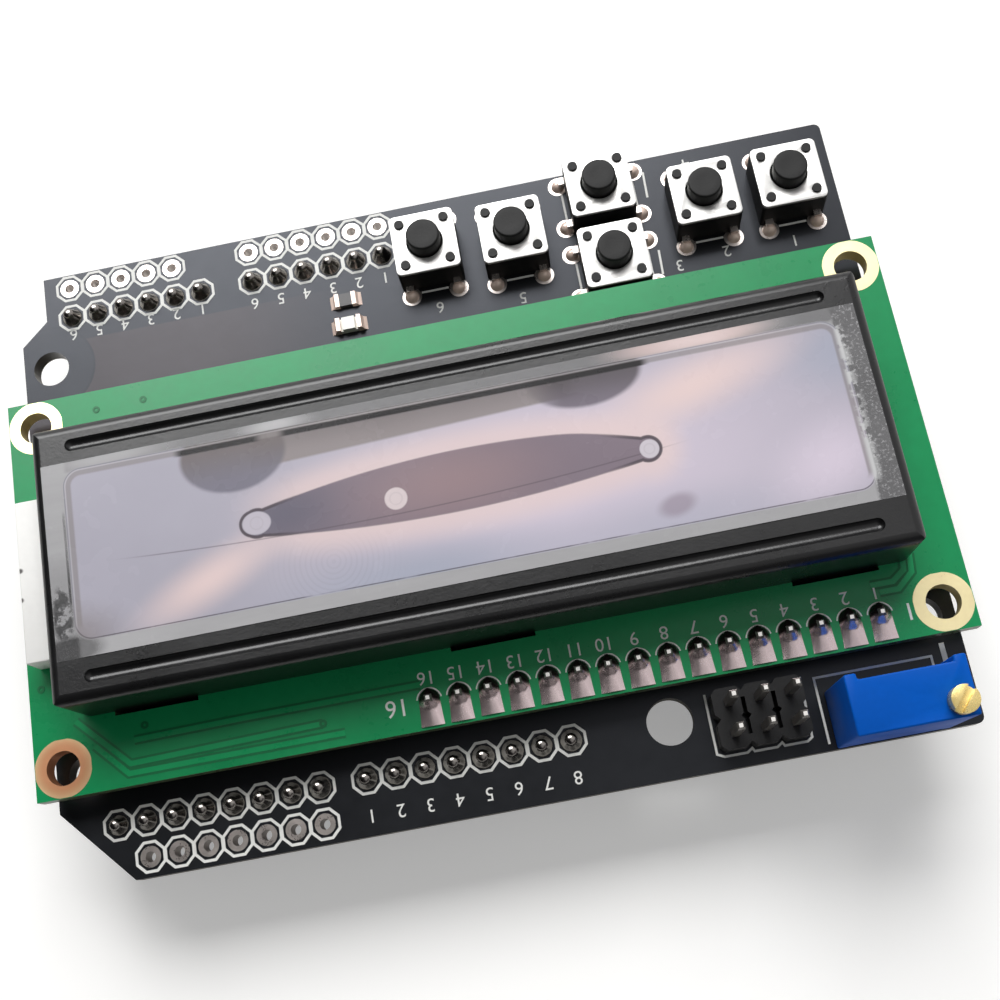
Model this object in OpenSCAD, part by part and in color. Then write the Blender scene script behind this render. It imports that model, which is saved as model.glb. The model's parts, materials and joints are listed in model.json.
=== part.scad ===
// Display and keypad board that plugs onto a controller board.
// Lengths in millimetres. The part stands on its pin tips, with its print upright seen from above.

/* [Display board] */
// Width of the green display board
lcd_w = 80; // [76:0.5:86]
// Depth of the green display board
lcd_d = 36; // [34:0.5:42]
// Thickness of the display board
lcd_t = 1.6; // [1:0.1:2.4]
// Space between the two boards, filled by the header's plastic
lcd_gap = 2; // [1.8:0.1:5]
// Inset of the display board's corner holes from both edges
lcd_hole_inset = 2.5; // [2.2:0.1:3.5]
// Diameter of the corner holes
lcd_hole_d = 3; // [2:0.1:3.6]
// Inset of the first header pin from the display board's left edge
lcd_pin_inset = 7.8; // [6:0.1:12]
// Inset of the header row from the display board's front edge
lcd_row_inset = 2.5; // [1.5:0.1:3.2]
// Number of pins on the display header
lcd_pin_count = 16; // [14:1:18]

/* [Display frame] */
// Width of the metal frame
bezel_w = 71.4; // [70:0.2:74]
// Depth of the metal frame
bezel_d = 24; // [23.6:0.2:26]
// Height of the metal frame above the display board
bezel_h = 6.8; // [6.6:0.1:10]
// Sheet thickness of the frame
bezel_t = 0.5; // [0.3:0.05:0.6]
// Radius of the frame's edges
bezel_r = 0.9; // [0.6:0.1:1.5]
// Frame centre to the right of the display board's centre
bezel_x = -0.2; // [-1:0.1:1]
// Frame centre in front of the display board's centre
bezel_y = -0.45; // [-1:0.05:1]
// Width of the frame beside the window
window_side = 2.8; // [2.5:0.1:5]
// Width of the frame behind the window
window_rear = 4.35; // [4:0.05:5.5]
// Width of the frame in front of the window
window_front = 5.05; // [4:0.05:5.5]
// Corner radius of the window
window_r = 1.4; // [0.6:0.1:3]
// Distance of each stiffening bead's ends from the frame's ends
bead_end = 3.05; // [2:0.05:9]
// Distance of each bead's centre line from the frame's edge
bead_inset = 2; // [1.8:0.05:2.2]
// Width of each stiffening bead
bead_w = 1.1; // [0.9:0.1:1.8]
// Depth of each stiffening bead
bead_depth = 0.4; // [0.2:0.05:0.45]
// Width of each tab that holds the frame to the display board
tab_w = 6.6; // [4:0.1:9]
// Distance of the outer tabs from the frame's ends
tab_end = 3.2; // [2:0.1:6]

/* [Display cell] */
// Thickness of each glass plate
glass_t = 1.1; // [0.7:0.1:1.2]
// Thickness of each polariser
polariser_t = 0.2; // [0.1:0.05:0.25]
// Thickness of the protective film
film_t = 0.1; // [0.05:0.05:0.3]
// Lap of the protective film over the frame beside the window
film_side_lap = 1.9; // [0.5:0.1:2]
// Lap of the protective film over the frame behind and in front of the window
film_lap = 1.15; // [0.4:0.05:1.3]
// Film centre in front of the window's centre
film_shift = 0.15; // [-0.2:0.05:0.2]
// Width of each rubber contact strip
zebra_w = 1.8; // [1.2:0.1:2]
// Length of the backlight's end block outside the frame
block_len = 3.3; // [2:0.1:4]
// Width of the backlight's end block
block_w = 14.4; // [10:0.2:15.8]
// Height of the backlight's end block
block_h = 3; // [1.8:0.1:3.2]

/* [Carrier board] */
// Overhang of the display board past the carrier board's left edge
left_overhang = 0.8; // [-2:0.1:1.5]
// Overhang of the display board past the carrier board's right edge
right_overhang = 0.4; // [-2:0.1:1.5]
// Thickness of the carrier board
board_t = 1.6; // [1:0.1:2.4]
// Depth of carrier board in front of the display
front_shelf = 7.46; // [7.4:0.02:10]
// Depth of carrier board behind the display
rear_shelf = 14.14; // [14:0.02:18]
// Radius of the two left corners
corner_r = 0.6; // [0.3:0.1:2]
// Width of the step at the rear right corner
step_w = 2.55; // [1:0.05:3]
// Depth of the step at the rear right corner
step_d = 4.45; // [2:0.05:5]
// Depth of the slope beside the step
step_slope_d = 2.25; // [1:0.05:3]
// Width of the chamfer at the front right corner
chamfer_w = 6.15; // [3:0.05:6.4]
// Depth of the chamfer at the front right corner
chamfer_d = 6.6; // [3:0.1:7]
// Diameter of the rear fixing hole
rear_hole_d = 3.4; // [2.4:0.1:3.6]
// Inset of the rear fixing hole from the right edge
rear_hole_inset = 2.6; // [2.4:0.1:4]
// Distance of the rear fixing hole from the rear edge
rear_hole_y_inset = 9.4; // [9:0.1:10.4]
// Diameter of the front fixing hole
front_hole_d = 4; // [2.4:0.1:4.2]
// Gap between the front fixing hole and the nearest pin, spread to fill the row
hole_pin_gap = 5.67; // [4:0.01:7]
// Gap between the programming header and the front fixing hole, spread to fill the row
icsp_hole_gap = 1.59; // [1:0.01:3]
// Gap between the trimmer and the programming header, spread to fill the row
trimmer_icsp_gap = 1.96; // [1:0.01:3]
// Gap between the left edge and the trimmer, spread to fill the row
trimmer_inset = 2.9; // [1:0.1:4]
// Diameter of the two holes under the display's front corners
corner_hole_d = 3.2; // [2.4:0.1:3.6]
// Inset of those two holes from the carrier board's sides
corner_hole_inset = 2.7; // [2.4:0.1:4]
// Distance of those two holes behind the display board's front edge
corner_hole_setback = 2.14; // [1.8:0.02:3]

/* [Pin headers] */
// Pin spacing
pitch = 2.54; // [2.5:0.01:2.6]
// Width of a square pin
pin_w = 0.64; // [0.5:0.02:0.7]
// Length of the pins below the plastic strips
pin_drop = 6; // [4:0.1:12]
// Height of the plastic strips under the board
strip_h = 2.54; // [2:0.02:4]
// Length of the pins above a board's solder side
pin_stub = 1.2; // [0.8:0.1:1.5]
// Height of the standing pins of the programming header above its plastic
icsp_pin_h = 6; // [4:0.1:8]
// Diameter of the plated holes
pad_hole_d = 1; // [0.98:0.02:1.2]
// Inset of the rear pin row from the rear edge
rear_row_inset = 4.54; // [4.2:0.02:6]
// Inset of the front pin row from the front edge
front_row_inset = 4.8; // [4.2:0.02:6]
// Distance from a pin row to the bare holes beside it
outer_row_gap = 3.1; // [2.6:0.05:3.3]
// Inset of the first pins from the right edge
first_pin_inset = 5.06; // [4.4:0.02:6]
// Gap between the two front headers, pin to pin
front_header_gap = 4.064; // [2.8:0.002:5]
// Gap between the two rear headers, pin to pin
rear_header_gap = 5.08; // [2.8:0.02:5.6]

/* [Push switches] */
// Width and depth of a switch
switch_w = 6; // [5.6:0.1:6.4]
// Height of a switch's moulded base
switch_h = 3.2; // [3:0.1:4.4]
// Sheet thickness of a switch's cover
cover_t = 0.3; // [0.2:0.05:0.4]
// Height of a plunger's top above the carrier board
plunger_top = 5; // [4.3:0.1:9]
// Diameter of a plunger
plunger_d = 3.1; // [2.8:0.1:3.7]
// Travel of a plunger
plunger_travel = 0.25; // [0.15:0.05:0.4]
// Diameter of the stakes that hold the cover
stake_d = 0.84; // [0.6:0.02:1.1]
// Spacing of the stakes
stake_pitch = 4.2; // [4.1:0.05:4.5]
// Spacing of a switch's legs along its side
leg_pitch = 4.5; // [3.5:0.1:5]
// Distance of the legs from the base's sides
leg_gap = 0.4; // [0.3:0.05:0.6]
// Gap between the upper switch and the display board
up_gap = 0.44; // [0.3:0.02:1]
// Gap between the upper and the lower switch
pair_gap = 1.3; // [0.4:0.1:1.4]
// Inset of the switch row from the rear edge
switch_row_inset = 6.3; // [5:0.1:6.6]
// Inset of the reset switch from the rear edge
reset_inset = 5.8; // [5:0.1:6.4]
// Gap between the left edge and the select switch, spread to fill the row
edge_gap = 1.8; // [1:0.05:3]
// Gap between the select and left switches, spread to fill the row
select_gap = 1.85; // [1:0.05:3]
// Gap between the left switch and the pair's solder, spread to fill the row
left_gap = 2; // [1:0.05:3]
// Gap between the pair's solder and the right switch, spread to fill the row
right_gap = 1.55; // [1:0.05:3]
// Gap between the right and reset switches, spread to fill the row
reset_gap = 2.1; // [1:0.05:3]
// Gap between the reset switch and the last pin's solder, spread to fill the row
pin_gap = 0.61; // [0.4:0.01:2]

/* [Trimmer] */
// Length of the trimmer
trimmer_l = 9.53; // [8:0.01:9.6]
// Width of the trimmer
trimmer_w = 4.8; // [4:0.05:4.84]
// Height of the trimmer
trimmer_h = 10; // [6:0.1:12]
// Diameter of the adjusting screw's head
screw_d = 2.2; // [1.8:0.05:2.4]
// Height of the screw's head above the trimmer
screw_rise = 1.4; // [0.8:0.1:2]
// Inset of the screw from two sides of the trimmer
screw_inset = 1.27; // [1.25:0.01:1.6]
// Angle of the screw's slot at rest
screw_turn = 50; // [0:5:175]
// Gap between the trimmer and the display board
trimmer_gap = 2.6; // [1.5:0.01:2.62]

/* [Programming header] */
// Gap between the programming header and the display board
icsp_gap = 0.97; // [0.5:0.01:1.5]
// Width of the slots between its columns
slot_w = 0.36; // [0.2:0.02:0.5]
// Length of those slots
slot_l = 3.1; // [2:0.1:3.6]
// Depth of those slots
slot_depth = 1.9; // [0.5:0.1:1.9]

/* [Clearances] */
// Side clearance of a moving plunger
plunger_clearance = 0.1; // [0.05:0.01:0.2]
// Gap between a plunger and the edge of the cover's hole
cover_gap = 0.16; // [0.1:0.01:0.25]
// Side clearance of the adjusting screw
screw_clearance = 0.05; // [0.02:0.01:0.1]
// Clearance of parts that lie in the frame
cell_clearance = 0.3; // [0.1:0.05:0.4]
// Clearance of a tab in its slot
tab_clearance = 0.35; // [0.15:0.05:0.5]
// Clearance under and over a plunger at rest
rest_clearance = 0.04; // [0.02:0.01:0.06]

/* [Hidden] */
$fn = 48;
eps = 0.01;
switch_names = ["select", "left", "up", "down", "right", "reset"];
switch_pieces = ["base", "cover", "dome", "plunger"];

// Heights above the surface that the pin tips stand on
board_z = pin_drop + strip_h;
board_top = board_z + board_t;
lcd_z = board_top + lcd_gap;
lcd_top = lcd_z + lcd_t;
bezel_top = lcd_top + bezel_h;
diffuser_t = 0.1;
stack_clearance = 0.1;
cell_t = diffuser_t + polariser_t + 2 * glass_t;
backlight_h = bezel_h - bezel_t - bead_depth - stack_clearance - cell_t;
diffuser_z = lcd_top + backlight_h;
rear_polariser_z = diffuser_z + diffuser_t;
rear_glass_z = rear_polariser_z + polariser_t;
front_glass_z = rear_glass_z + glass_t;
front_polariser_z = front_glass_z + glass_t;

// Plan edges, with the display board's centre at x = 0
board_d = rear_shelf + lcd_d + front_shelf;
rear_y = -board_d / 2;
front_y = board_d / 2;
lcd_rear_y = rear_y + rear_shelf;
lcd_front_y = lcd_rear_y + lcd_d;
lcd_y = (lcd_rear_y + lcd_front_y) / 2;
left_x = left_overhang - lcd_w / 2;
right_x = lcd_w / 2 - right_overhang;
frame_x = bezel_x;
frame_y = lcd_y + bezel_y;
window_w = bezel_w - 2 * window_side;
window_d = bezel_d - window_rear - window_front;
window_y = (window_rear - window_front) / 2;
bead_len = bezel_w - 2 * bead_end;
bead_y = bezel_d / 2 - bead_inset;
tab_pitch = (bezel_w - tab_w) / 2 - tab_end;
film_w = window_w + 2 * film_side_lap;
film_d = window_d + 2 * film_lap;
film_y = window_y + film_shift;
cavity_w = bezel_w - 2 * bezel_t;
cavity_d = bezel_d - 2 * bezel_t;
wall_y = bezel_d / 2 - bezel_t / 2;
cell_w = cavity_w - 2 * cell_clearance;
front_glass_d = cavity_d - 2 * cell_clearance;
rear_glass_d = front_glass_d - 2 * zebra_w - 4 * cell_clearance;
backlight_d = rear_glass_d - cell_clearance;
zebra_short = 3;
polariser_lap = 1.6;
guide_rim = 1;
guide_floor = 0.6;

// Pins and their solder
pin_tip = 0.4;
strip_cut = 0.43;
pad_r = 0.85;
solder_rise = 0.8;
under_rise = 0.9;
neck_wall = 0.06;
pin_neck_r = pin_w / sqrt(2) + neck_wall;
header_pin_length = pin_drop + strip_h + board_t + pin_stub;

// Pin rows
rear_row_y = rear_y + rear_row_inset;
front_row_y = front_y - front_row_inset;
first_pin_x = right_x - first_pin_inset;
digital_count = 8;
side_count = 6;
digital_low_x = first_pin_x;
digital_high_x = digital_low_x - (digital_count - 1) * pitch - front_header_gap;
analog_x = first_pin_x;
power_x = analog_x - (side_count - 1) * pitch - rear_header_gap;
digital_low_at = row_of(digital_count, digital_low_x, front_row_y);
digital_high_at = row_of(digital_count, digital_high_x, front_row_y);
analog_at = row_of(side_count, analog_x, rear_row_y);
power_at = row_of(side_count, power_x, rear_row_y);
lcd_row_y = lcd_front_y - lcd_row_inset;
lcd_pin_x = -lcd_w / 2 + lcd_pin_inset;
lcd_pins_at = row_of(lcd_pin_count, lcd_pin_x + (lcd_pin_count - 1) * pitch, lcd_row_y);
bare_holes_at = concat(
    row_of(digital_count - 1, digital_low_x - pitch, front_row_y + outer_row_gap),
    row_of(side_count - 1, analog_x, rear_row_y - outer_row_gap),
    row_of(side_count, power_x, rear_row_y - outer_row_gap)
);
icsp_d = 2 * pitch;
icsp_l = 3 * pitch;
last_front_x = digital_high_x - (digital_count - 1) * pitch;
front_free = last_front_x - pad_r - left_x - trimmer_l - icsp_l - front_hole_d;
front_spread = front_free / (trimmer_inset + trimmer_icsp_gap + icsp_hole_gap + hole_pin_gap);
trimmer_x = left_x + front_spread * trimmer_inset + trimmer_l / 2;
icsp_x = trimmer_x + trimmer_l / 2 + front_spread * trimmer_icsp_gap + icsp_l / 2;
front_hole_x = icsp_x + icsp_l / 2 + front_spread * icsp_hole_gap + front_hole_d / 2;
icsp_y = lcd_front_y + icsp_gap + icsp_d / 2;
icsp_at = [for (i = [-1:1], j = [-0.5, 0.5]) [icsp_x + i * pitch, icsp_y + j * pitch]];

// Fixing holes
rear_hole_at = [right_x - rear_hole_inset, rear_y + rear_hole_y_inset];
front_hole_at = [front_hole_x, front_row_y];
corner_hole_y = lcd_front_y - corner_hole_setback;
corner_holes_at = [
    [left_x + corner_hole_inset, corner_hole_y],
    [right_x - corner_hole_inset, corner_hole_y]
];
lcd_holes_at = [for (sx = [-1, 1], sy = [-1, 1]) [
    sx * (lcd_w / 2 - lcd_hole_inset),
    lcd_y + sy * (lcd_d / 2 - lcd_hole_inset)
]];

// Push switches, from the left edge to the last rear pin
leg_span = switch_w + 2 * leg_gap;
pair_w = leg_span + 2 * pad_r;
last_rear_x = power_x - (side_count - 1) * pitch;
switch_free = last_rear_x - pad_r - left_x - 4 * switch_w - pair_w;
switch_spread = switch_free / (edge_gap + select_gap + left_gap + right_gap + reset_gap + pin_gap);
select_x = left_x + switch_spread * edge_gap + switch_w / 2;
left_switch_x = select_x + switch_w + switch_spread * select_gap;
pair_x = left_switch_x + switch_spread * left_gap + (switch_w + pair_w) / 2;
right_switch_x = pair_x + switch_spread * right_gap + (switch_w + pair_w) / 2;
reset_x = right_switch_x + switch_w + switch_spread * reset_gap;
switch_row_y = rear_y + switch_row_inset;
up_y = lcd_rear_y - up_gap - switch_w / 2;
down_y = up_y - switch_w - pair_gap;
reset_y = rear_y + reset_inset;

// Each switch's centre, and a quarter turn for the pair that lies across
switch_at = [
    [select_x, switch_row_y, 0],
    [left_switch_x, switch_row_y, 0],
    [pair_x, up_y, 90],
    [pair_x, down_y, 90],
    [right_switch_x, switch_row_y, 0],
    [reset_x, reset_y, 0]
];
legs_at = [for (sx = [-1, 1], sy = [-1, 1]) [sx * leg_pitch / 2, sy * leg_span / 2]];
leg_w = 0.7;
leg_t = 0.3;
leg_z = 0.9;
leg_drop = 3.4;
leg_neck_r = norm([leg_w, leg_t]) / 2 + neck_wall;
leg_solder_rise = 0.56;
base_corner_r = 0.3;
cover_corner_r = 0.5;
switch_floor = 1;
dome_h = 0.5;
dome_t = 0.1;
stake_wall = 0.15;
dome_slack = 0.3;
well_r = stake_pitch / sqrt(2) - stake_d / 2 - stake_wall;
flange_r = well_r - plunger_clearance;
dome_r = well_r - dome_slack;
stake_rise = 0.2;
plunger_nub_z = switch_floor + dome_h + rest_clearance;
flange_z = plunger_nub_z + plunger_travel + dome_h / 2;
flange_top = switch_h - rest_clearance;

// Trimmer
trimmer_y = lcd_front_y + trimmer_gap + trimmer_w / 2;
trimmer_foot = 0.4;
trimmer_leads_at = [for (i = [-1:1]) [trimmer_x + i * pitch, trimmer_y]];
trimmer_lead_d = 0.6;
lead_drop = 3;
screw_x = trimmer_x - trimmer_l / 2 + screw_inset;
screw_y = trimmer_y + trimmer_w / 2 - screw_inset;
screw_shoulder = 0.25;
screw_shank_d = screw_d - 2 * screw_shoulder;
screw_depth = 3;
screw_slot_w = 0.6;
screw_slot_depth = 0.7;

// Chips
led_side_gap = 8.64;
led_setback = 3;
chip_row_setback = 4;
chip_pitch = 4.2;
ladder_count = 5;
led_resistor_gap = 2.6;
led_at = [power_x - led_side_gap, lcd_rear_y - led_setback];
led_resistor_at = [led_at[0], led_at[1] - led_resistor_gap];
ladder_at = [for (i = [0:ladder_count - 1]) [pair_x + i * chip_pitch, lcd_rear_y + chip_row_setback]];
transistor_at = [pair_x + (ladder_count + 1) * chip_pitch, lcd_rear_y + chip_row_setback];
chip_l = 2;
chip_w = 1.25;
chip_h = 0.5;

// Points of a row of pins that starts at its right end
function row_of(count, x, y) = [for (i = [0:count - 1]) [x - i * pitch, y]];

// Half section of a round cap of rim radius r and height h
function cap_points(r, h) =
    let (steps = 8, ball = (r * r + h * h) / (2 * h), spread = asin(r / ball))
        concat([[0, 0]], [for (i = [0:steps]) let (a = spread * (1 - i / steps))
            [ball * sin(a), i == 0 ? 0 : ball * cos(a) - ball + h]]);

// Rectangle with round corners, centred
module round_rect(w, d, r) {
    square([w - 2 * r, d], center = true);
    square([w, d - 2 * r], center = true);
    for (sx = [-1, 1], sy = [-1, 1])
        translate([sx * (w / 2 - r), sy * (d / 2 - r)])
            circle(r);
}

// Upright profile with round upper corners, standing on y = 0
module round_top(w, h, r) {
    translate([-w / 2, 0])
        square([w, h - r]);
    translate([-w / 2 + r, 0])
        square([w - 2 * r, h]);
    for (sx = [-1, 1])
        translate([sx * (w / 2 - r), h - r])
            circle(r);
}

// Block with round upright corners and round upper edges
module pressed_block(w, d, h, r) {
    intersection() {
        linear_extrude(h)
            round_rect(w, d, r);
        translate([0, d / 2, 0])
            rotate([90, 0, 0])
                linear_extrude(d)
                    round_top(w, h, r);
        translate([-w / 2, 0, 0])
            rotate([90, 0, 90])
                linear_extrude(w)
                    round_top(d, h, r);
    }
}

// Round holes through a plate, from its underside up
module drill(points, d, thickness) {
    for (p = points)
        translate([p[0], p[1], -eps])
            cylinder(h = thickness + 2 * eps, d = d);
}

// Side view of a square pin with tapered ends
module pin_profile(length) {
    polygon([
        [-pin_w / 4, 0], [pin_w / 4, 0], [pin_w / 2, pin_tip], [pin_w / 2, length - pin_tip],
        [pin_w / 4, length], [-pin_w / 4, length], [-pin_w / 2, length - pin_tip], [-pin_w / 2, pin_tip]
    ]);
}

// Upright square pin
module square_pin(length) {
    intersection() {
        translate([0, pin_w / 2, 0])
            rotate([90, 0, 0])
                linear_extrude(pin_w)
                    pin_profile(length);
        translate([-pin_w / 2, 0, 0])
            rotate([90, 0, 90])
                linear_extrude(pin_w)
                    pin_profile(length);
    }
}

// Pins of one header
module pins(points, z, length) {
    color("gold")
        for (p = points)
            translate([p[0], p[1], z])
                square_pin(length);
}

// Plan of one header cell with its corners cut off
module strip_cell() {
    half = pitch / 2;
    flat = half - strip_cut;
    polygon([
        [-half, -flat], [-flat, -half], [flat, -half], [half, -flat],
        [half, flat], [flat, half], [-flat, half], [-half, flat]
    ]);
}

// Moulded strip around the pins of one header
module strip(points, z, height) {
    color([0.09, 0.09, 0.1])
        translate([0, 0, z])
            difference() {
                for (p = points)
                    translate(p)
                        linear_extrude(height)
                            strip_cell();
                for (p = points)
                    translate([p[0], p[1], height / 2])
                        cube([pin_w, pin_w, height + 2 * eps], center = true);
            }
}

// Solder cone around a square pin, rising from z
module pin_joints(points, z, rise) {
    for (p = points)
        translate([p[0], p[1], z])
            difference() {
                cylinder(h = rise, r1 = pad_r, r2 = pin_neck_r);
                translate([-pin_w / 2, -pin_w / 2, -eps])
                    cube([pin_w, pin_w, rise + 2 * eps]);
            }
}

// Outline of the carrier board
module carrier_outline() {
    polygon([
        [left_x + corner_r, rear_y], [right_x - step_w, rear_y], [right_x - step_w, rear_y + step_d],
        [right_x, rear_y + step_d + step_slope_d], [right_x, front_y - chamfer_d],
        [right_x - chamfer_w, front_y], [left_x + corner_r, front_y],
        [left_x, front_y - corner_r], [left_x, rear_y + corner_r]
    ]);
    for (y = [rear_y + corner_r, front_y - corner_r])
        translate([left_x + corner_r, y])
            circle(corner_r);
}

module shield_board() {
    plated = concat(
        digital_low_at, digital_high_at, analog_at, power_at,
        bare_holes_at, lcd_pins_at, icsp_at, trimmer_leads_at
    );
    color([0.07, 0.07, 0.08])
        translate([0, 0, board_z])
            difference() {
                linear_extrude(board_t)
                    carrier_outline();
                drill(plated, pad_hole_d, board_t);
                drill([rear_hole_at], rear_hole_d, board_t);
                drill([front_hole_at], front_hole_d, board_t);
                drill(corner_holes_at, corner_hole_d, board_t);
                for (s = switch_at)
                    translate([s[0], s[1], 0])
                        rotate([0, 0, s[2]])
                            drill(legs_at, pad_hole_d, board_t);
            }
}

module digital_low_strip() {
    strip(digital_low_at, pin_drop, strip_h);
}

module digital_low_pins() {
    pins(digital_low_at, 0, header_pin_length);
}

module digital_high_strip() {
    strip(digital_high_at, pin_drop, strip_h);
}

module digital_high_pins() {
    pins(digital_high_at, 0, header_pin_length);
}

module power_strip() {
    strip(power_at, pin_drop, strip_h);
}

module power_pins() {
    pins(power_at, 0, header_pin_length);
}

module analog_strip() {
    strip(analog_at, pin_drop, strip_h);
}

module analog_pins() {
    pins(analog_at, 0, header_pin_length);
}

module header_solder() {
    color("silver")
        pin_joints(concat(digital_low_at, digital_high_at, power_at, analog_at), board_top, solder_rise);
}

module icsp_strip() {
    color([0.09, 0.09, 0.1])
        difference() {
            strip(icsp_at, board_top, strip_h);
            for (i = [-0.5, 0.5])
                translate([icsp_x + i * pitch - slot_w / 2, icsp_y - slot_l / 2, board_top + strip_h - slot_depth])
                    cube([slot_w, slot_l, slot_depth + eps]);
        }
}

module icsp_pins() {
    pins(icsp_at, board_z - pin_stub, pin_stub + board_t + strip_h + icsp_pin_h);
}

module trimmer_body() {
    end_l = 1;
    recess_l = trimmer_l - 2 * end_l;
    recess_w = 0.5;
    color([0.1, 0.32, 0.72])
        difference() {
            translate([trimmer_x, trimmer_y, board_top])
                difference() {
                    union() {
                        translate([-trimmer_l / 2, -trimmer_w / 2, trimmer_foot])
                            cube([trimmer_l, trimmer_w, trimmer_h - trimmer_foot]);
                        for (sx = [-1, 1])
                            translate([sx * (trimmer_l - end_l) / 2 - end_l / 2, -trimmer_w / 2, 0])
                                cube([end_l, trimmer_w, trimmer_foot + eps]);
                    }
                    translate([-recess_l / 2, -trimmer_w / 2 - eps, 0])
                        cube([recess_l, recess_w + eps, trimmer_h + eps]);
                }
            translate([screw_x, screw_y, board_top + trimmer_h - screw_depth])
                cylinder(h = screw_depth + eps, d = screw_shank_d + 2 * screw_clearance);
        }
}

module trimmer_screw() {
    color([0.8, 0.62, 0.25])
        translate([screw_x, screw_y, board_top + trimmer_h])
            difference() {
                union() {
                    translate([0, 0, screw_clearance])
                        cylinder(h = screw_rise - screw_clearance, d = screw_d);
                    translate([0, 0, screw_clearance - screw_depth])
                        cylinder(h = screw_depth, d = screw_shank_d);
                }
                rotate([0, 0, screw_turn])
                    translate([-screw_d, -screw_slot_w / 2, screw_rise - screw_slot_depth])
                        cube([2 * screw_d, screw_slot_w, screw_slot_depth + eps]);
            }
}

module trimmer_leads() {
    color("silver")
        for (p = trimmer_leads_at)
            translate([p[0], p[1], board_top + trimmer_foot - lead_drop])
                cylinder(h = lead_drop, d = trimmer_lead_d);
}

// Chip with a metal cap on each end, lying along x
module chip(cap_l, cap_t) {
    translate([-chip_l / 2, -chip_w / 2, 0])
        cube([chip_l, chip_w, chip_h]);
    for (sx = [-1, 1])
        translate([sx * (chip_l - cap_l) / 2 - cap_l / 2, -chip_w / 2, chip_h])
            cube([cap_l, chip_w, cap_t]);
}

module power_led() {
    lens_l = 1.2;
    lens_h = 0.4;
    end_l = 0.2;
    color("white")
        translate([led_at[0], led_at[1], board_top]) {
            translate([-chip_l / 2 - end_l, -chip_w / 2, 0])
                cube([chip_l + 2 * end_l, chip_w, chip_h]);
            translate([-lens_l / 2, -chip_w / 2, chip_h])
                cube([lens_l, chip_w, lens_h]);
        }
}

module chip_resistors() {
    cap_l = 0.4;
    cap_t = 0.05;
    color([0.2, 0.2, 0.22])
        for (p = concat([led_resistor_at], ladder_at))
            translate([p[0], p[1], board_top])
                chip(cap_l, cap_t);
}

module backlight_transistor() {
    body_l = 2.9;
    body_w = 1.3;
    body_h = 1;
    body_foot = 0.1;
    lead_w = 0.4;
    lead_l = 0.9;
    lead_t = 0.15;
    lead_x = 0.95;
    lead_y = 0.9;
    color([0.12, 0.12, 0.13])
        translate([transistor_at[0], transistor_at[1], board_top]) {
            translate([-body_l / 2, -body_w / 2, body_foot])
                cube([body_l, body_w, body_h - body_foot]);
            for (lead = [[-lead_x, -lead_y], [lead_x, -lead_y], [0, lead_y]])
                translate([lead[0] - lead_w / 2, lead[1] - lead_l / 2, 0])
                    cube([lead_w, lead_l, lead_t]);
        }
}

// Places a piece at one of the push switches, on the carrier board
module at_switch(s) {
    translate([s[0], s[1], board_top])
        rotate([0, 0, s[2]])
            children();
}

// Bent leg of a switch, seen from its side
module leg_profile() {
    inside = leg_span / 2 - leg_t / 2;
    outside = leg_span / 2 + leg_t / 2;
    under = leg_z - leg_t / 2;
    over = leg_z + leg_t / 2;
    polygon([
        [switch_w / 2, under], [inside, under], [inside, -leg_drop],
        [outside, -leg_drop], [outside, over], [switch_w / 2, over]
    ]);
}

// The two legs on one side of a switch
module side_legs() {
    for (sx = [-1, 1])
        translate([sx * leg_pitch / 2 - leg_w / 2, 0, 0])
            rotate([90, 0, 90])
                linear_extrude(leg_w)
                    leg_profile();
}

module switch_terminals() {
    color("silver")
        for (s = switch_at)
            at_switch(s)
                for (turn = [0, 180])
                    rotate([0, 0, turn])
                        side_legs();
}

// Solder cone around a switch leg, upwards or downwards from z
module leg_joint(z, rise) {
    difference() {
        translate([0, 0, z])
            if (rise > 0)
                cylinder(h = rise, r1 = pad_r, r2 = leg_neck_r);
            else
                translate([0, 0, rise])
                    cylinder(h = -rise, r1 = leg_neck_r, r2 = pad_r);
        translate([-leg_w / 2, -leg_t / 2, -leg_drop - eps])
            cube([leg_w, leg_t, leg_drop + leg_z]);
    }
}

module switch_solder() {
    color("silver")
        for (s = switch_at)
            at_switch(s)
                difference() {
                    for (p = legs_at)
                        translate(p)
                            leg_joint(0, leg_solder_rise);
                    translate([-switch_w / 2, -switch_w / 2, -eps])
                        cube([switch_w, switch_w, switch_h]);
                }
}

module underside_solder() {
    color("silver") {
        for (s = switch_at)
            at_switch(s)
                for (p = legs_at)
                    translate(p)
                        leg_joint(-board_t, -under_rise);
        translate([0, 0, 2 * board_z])
            mirror([0, 0, 1])
                pin_joints(concat(lcd_pins_at, icsp_at), board_z, under_rise);
        for (p = trimmer_leads_at)
            translate([p[0], p[1], board_z - under_rise])
                difference() {
                    cylinder(h = under_rise, r1 = trimmer_lead_d / 2 + neck_wall, r2 = pad_r);
                    translate([0, 0, -eps])
                        cylinder(h = under_rise + 2 * eps, d = trimmer_lead_d);
                }
    }
}

module switch_base() {
    color([0.06, 0.06, 0.07]) {
        difference() {
            linear_extrude(switch_h)
                round_rect(switch_w, switch_w, base_corner_r);
            translate([0, 0, switch_floor])
                cylinder(h = switch_h, r = well_r);
        }
        for (sx = [-1, 1], sy = [-1, 1])
            translate([sx * stake_pitch / 2, sy * stake_pitch / 2, switch_h - eps])
                cylinder(h = cover_t + stake_rise + eps, d = stake_d);
    }
}

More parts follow.
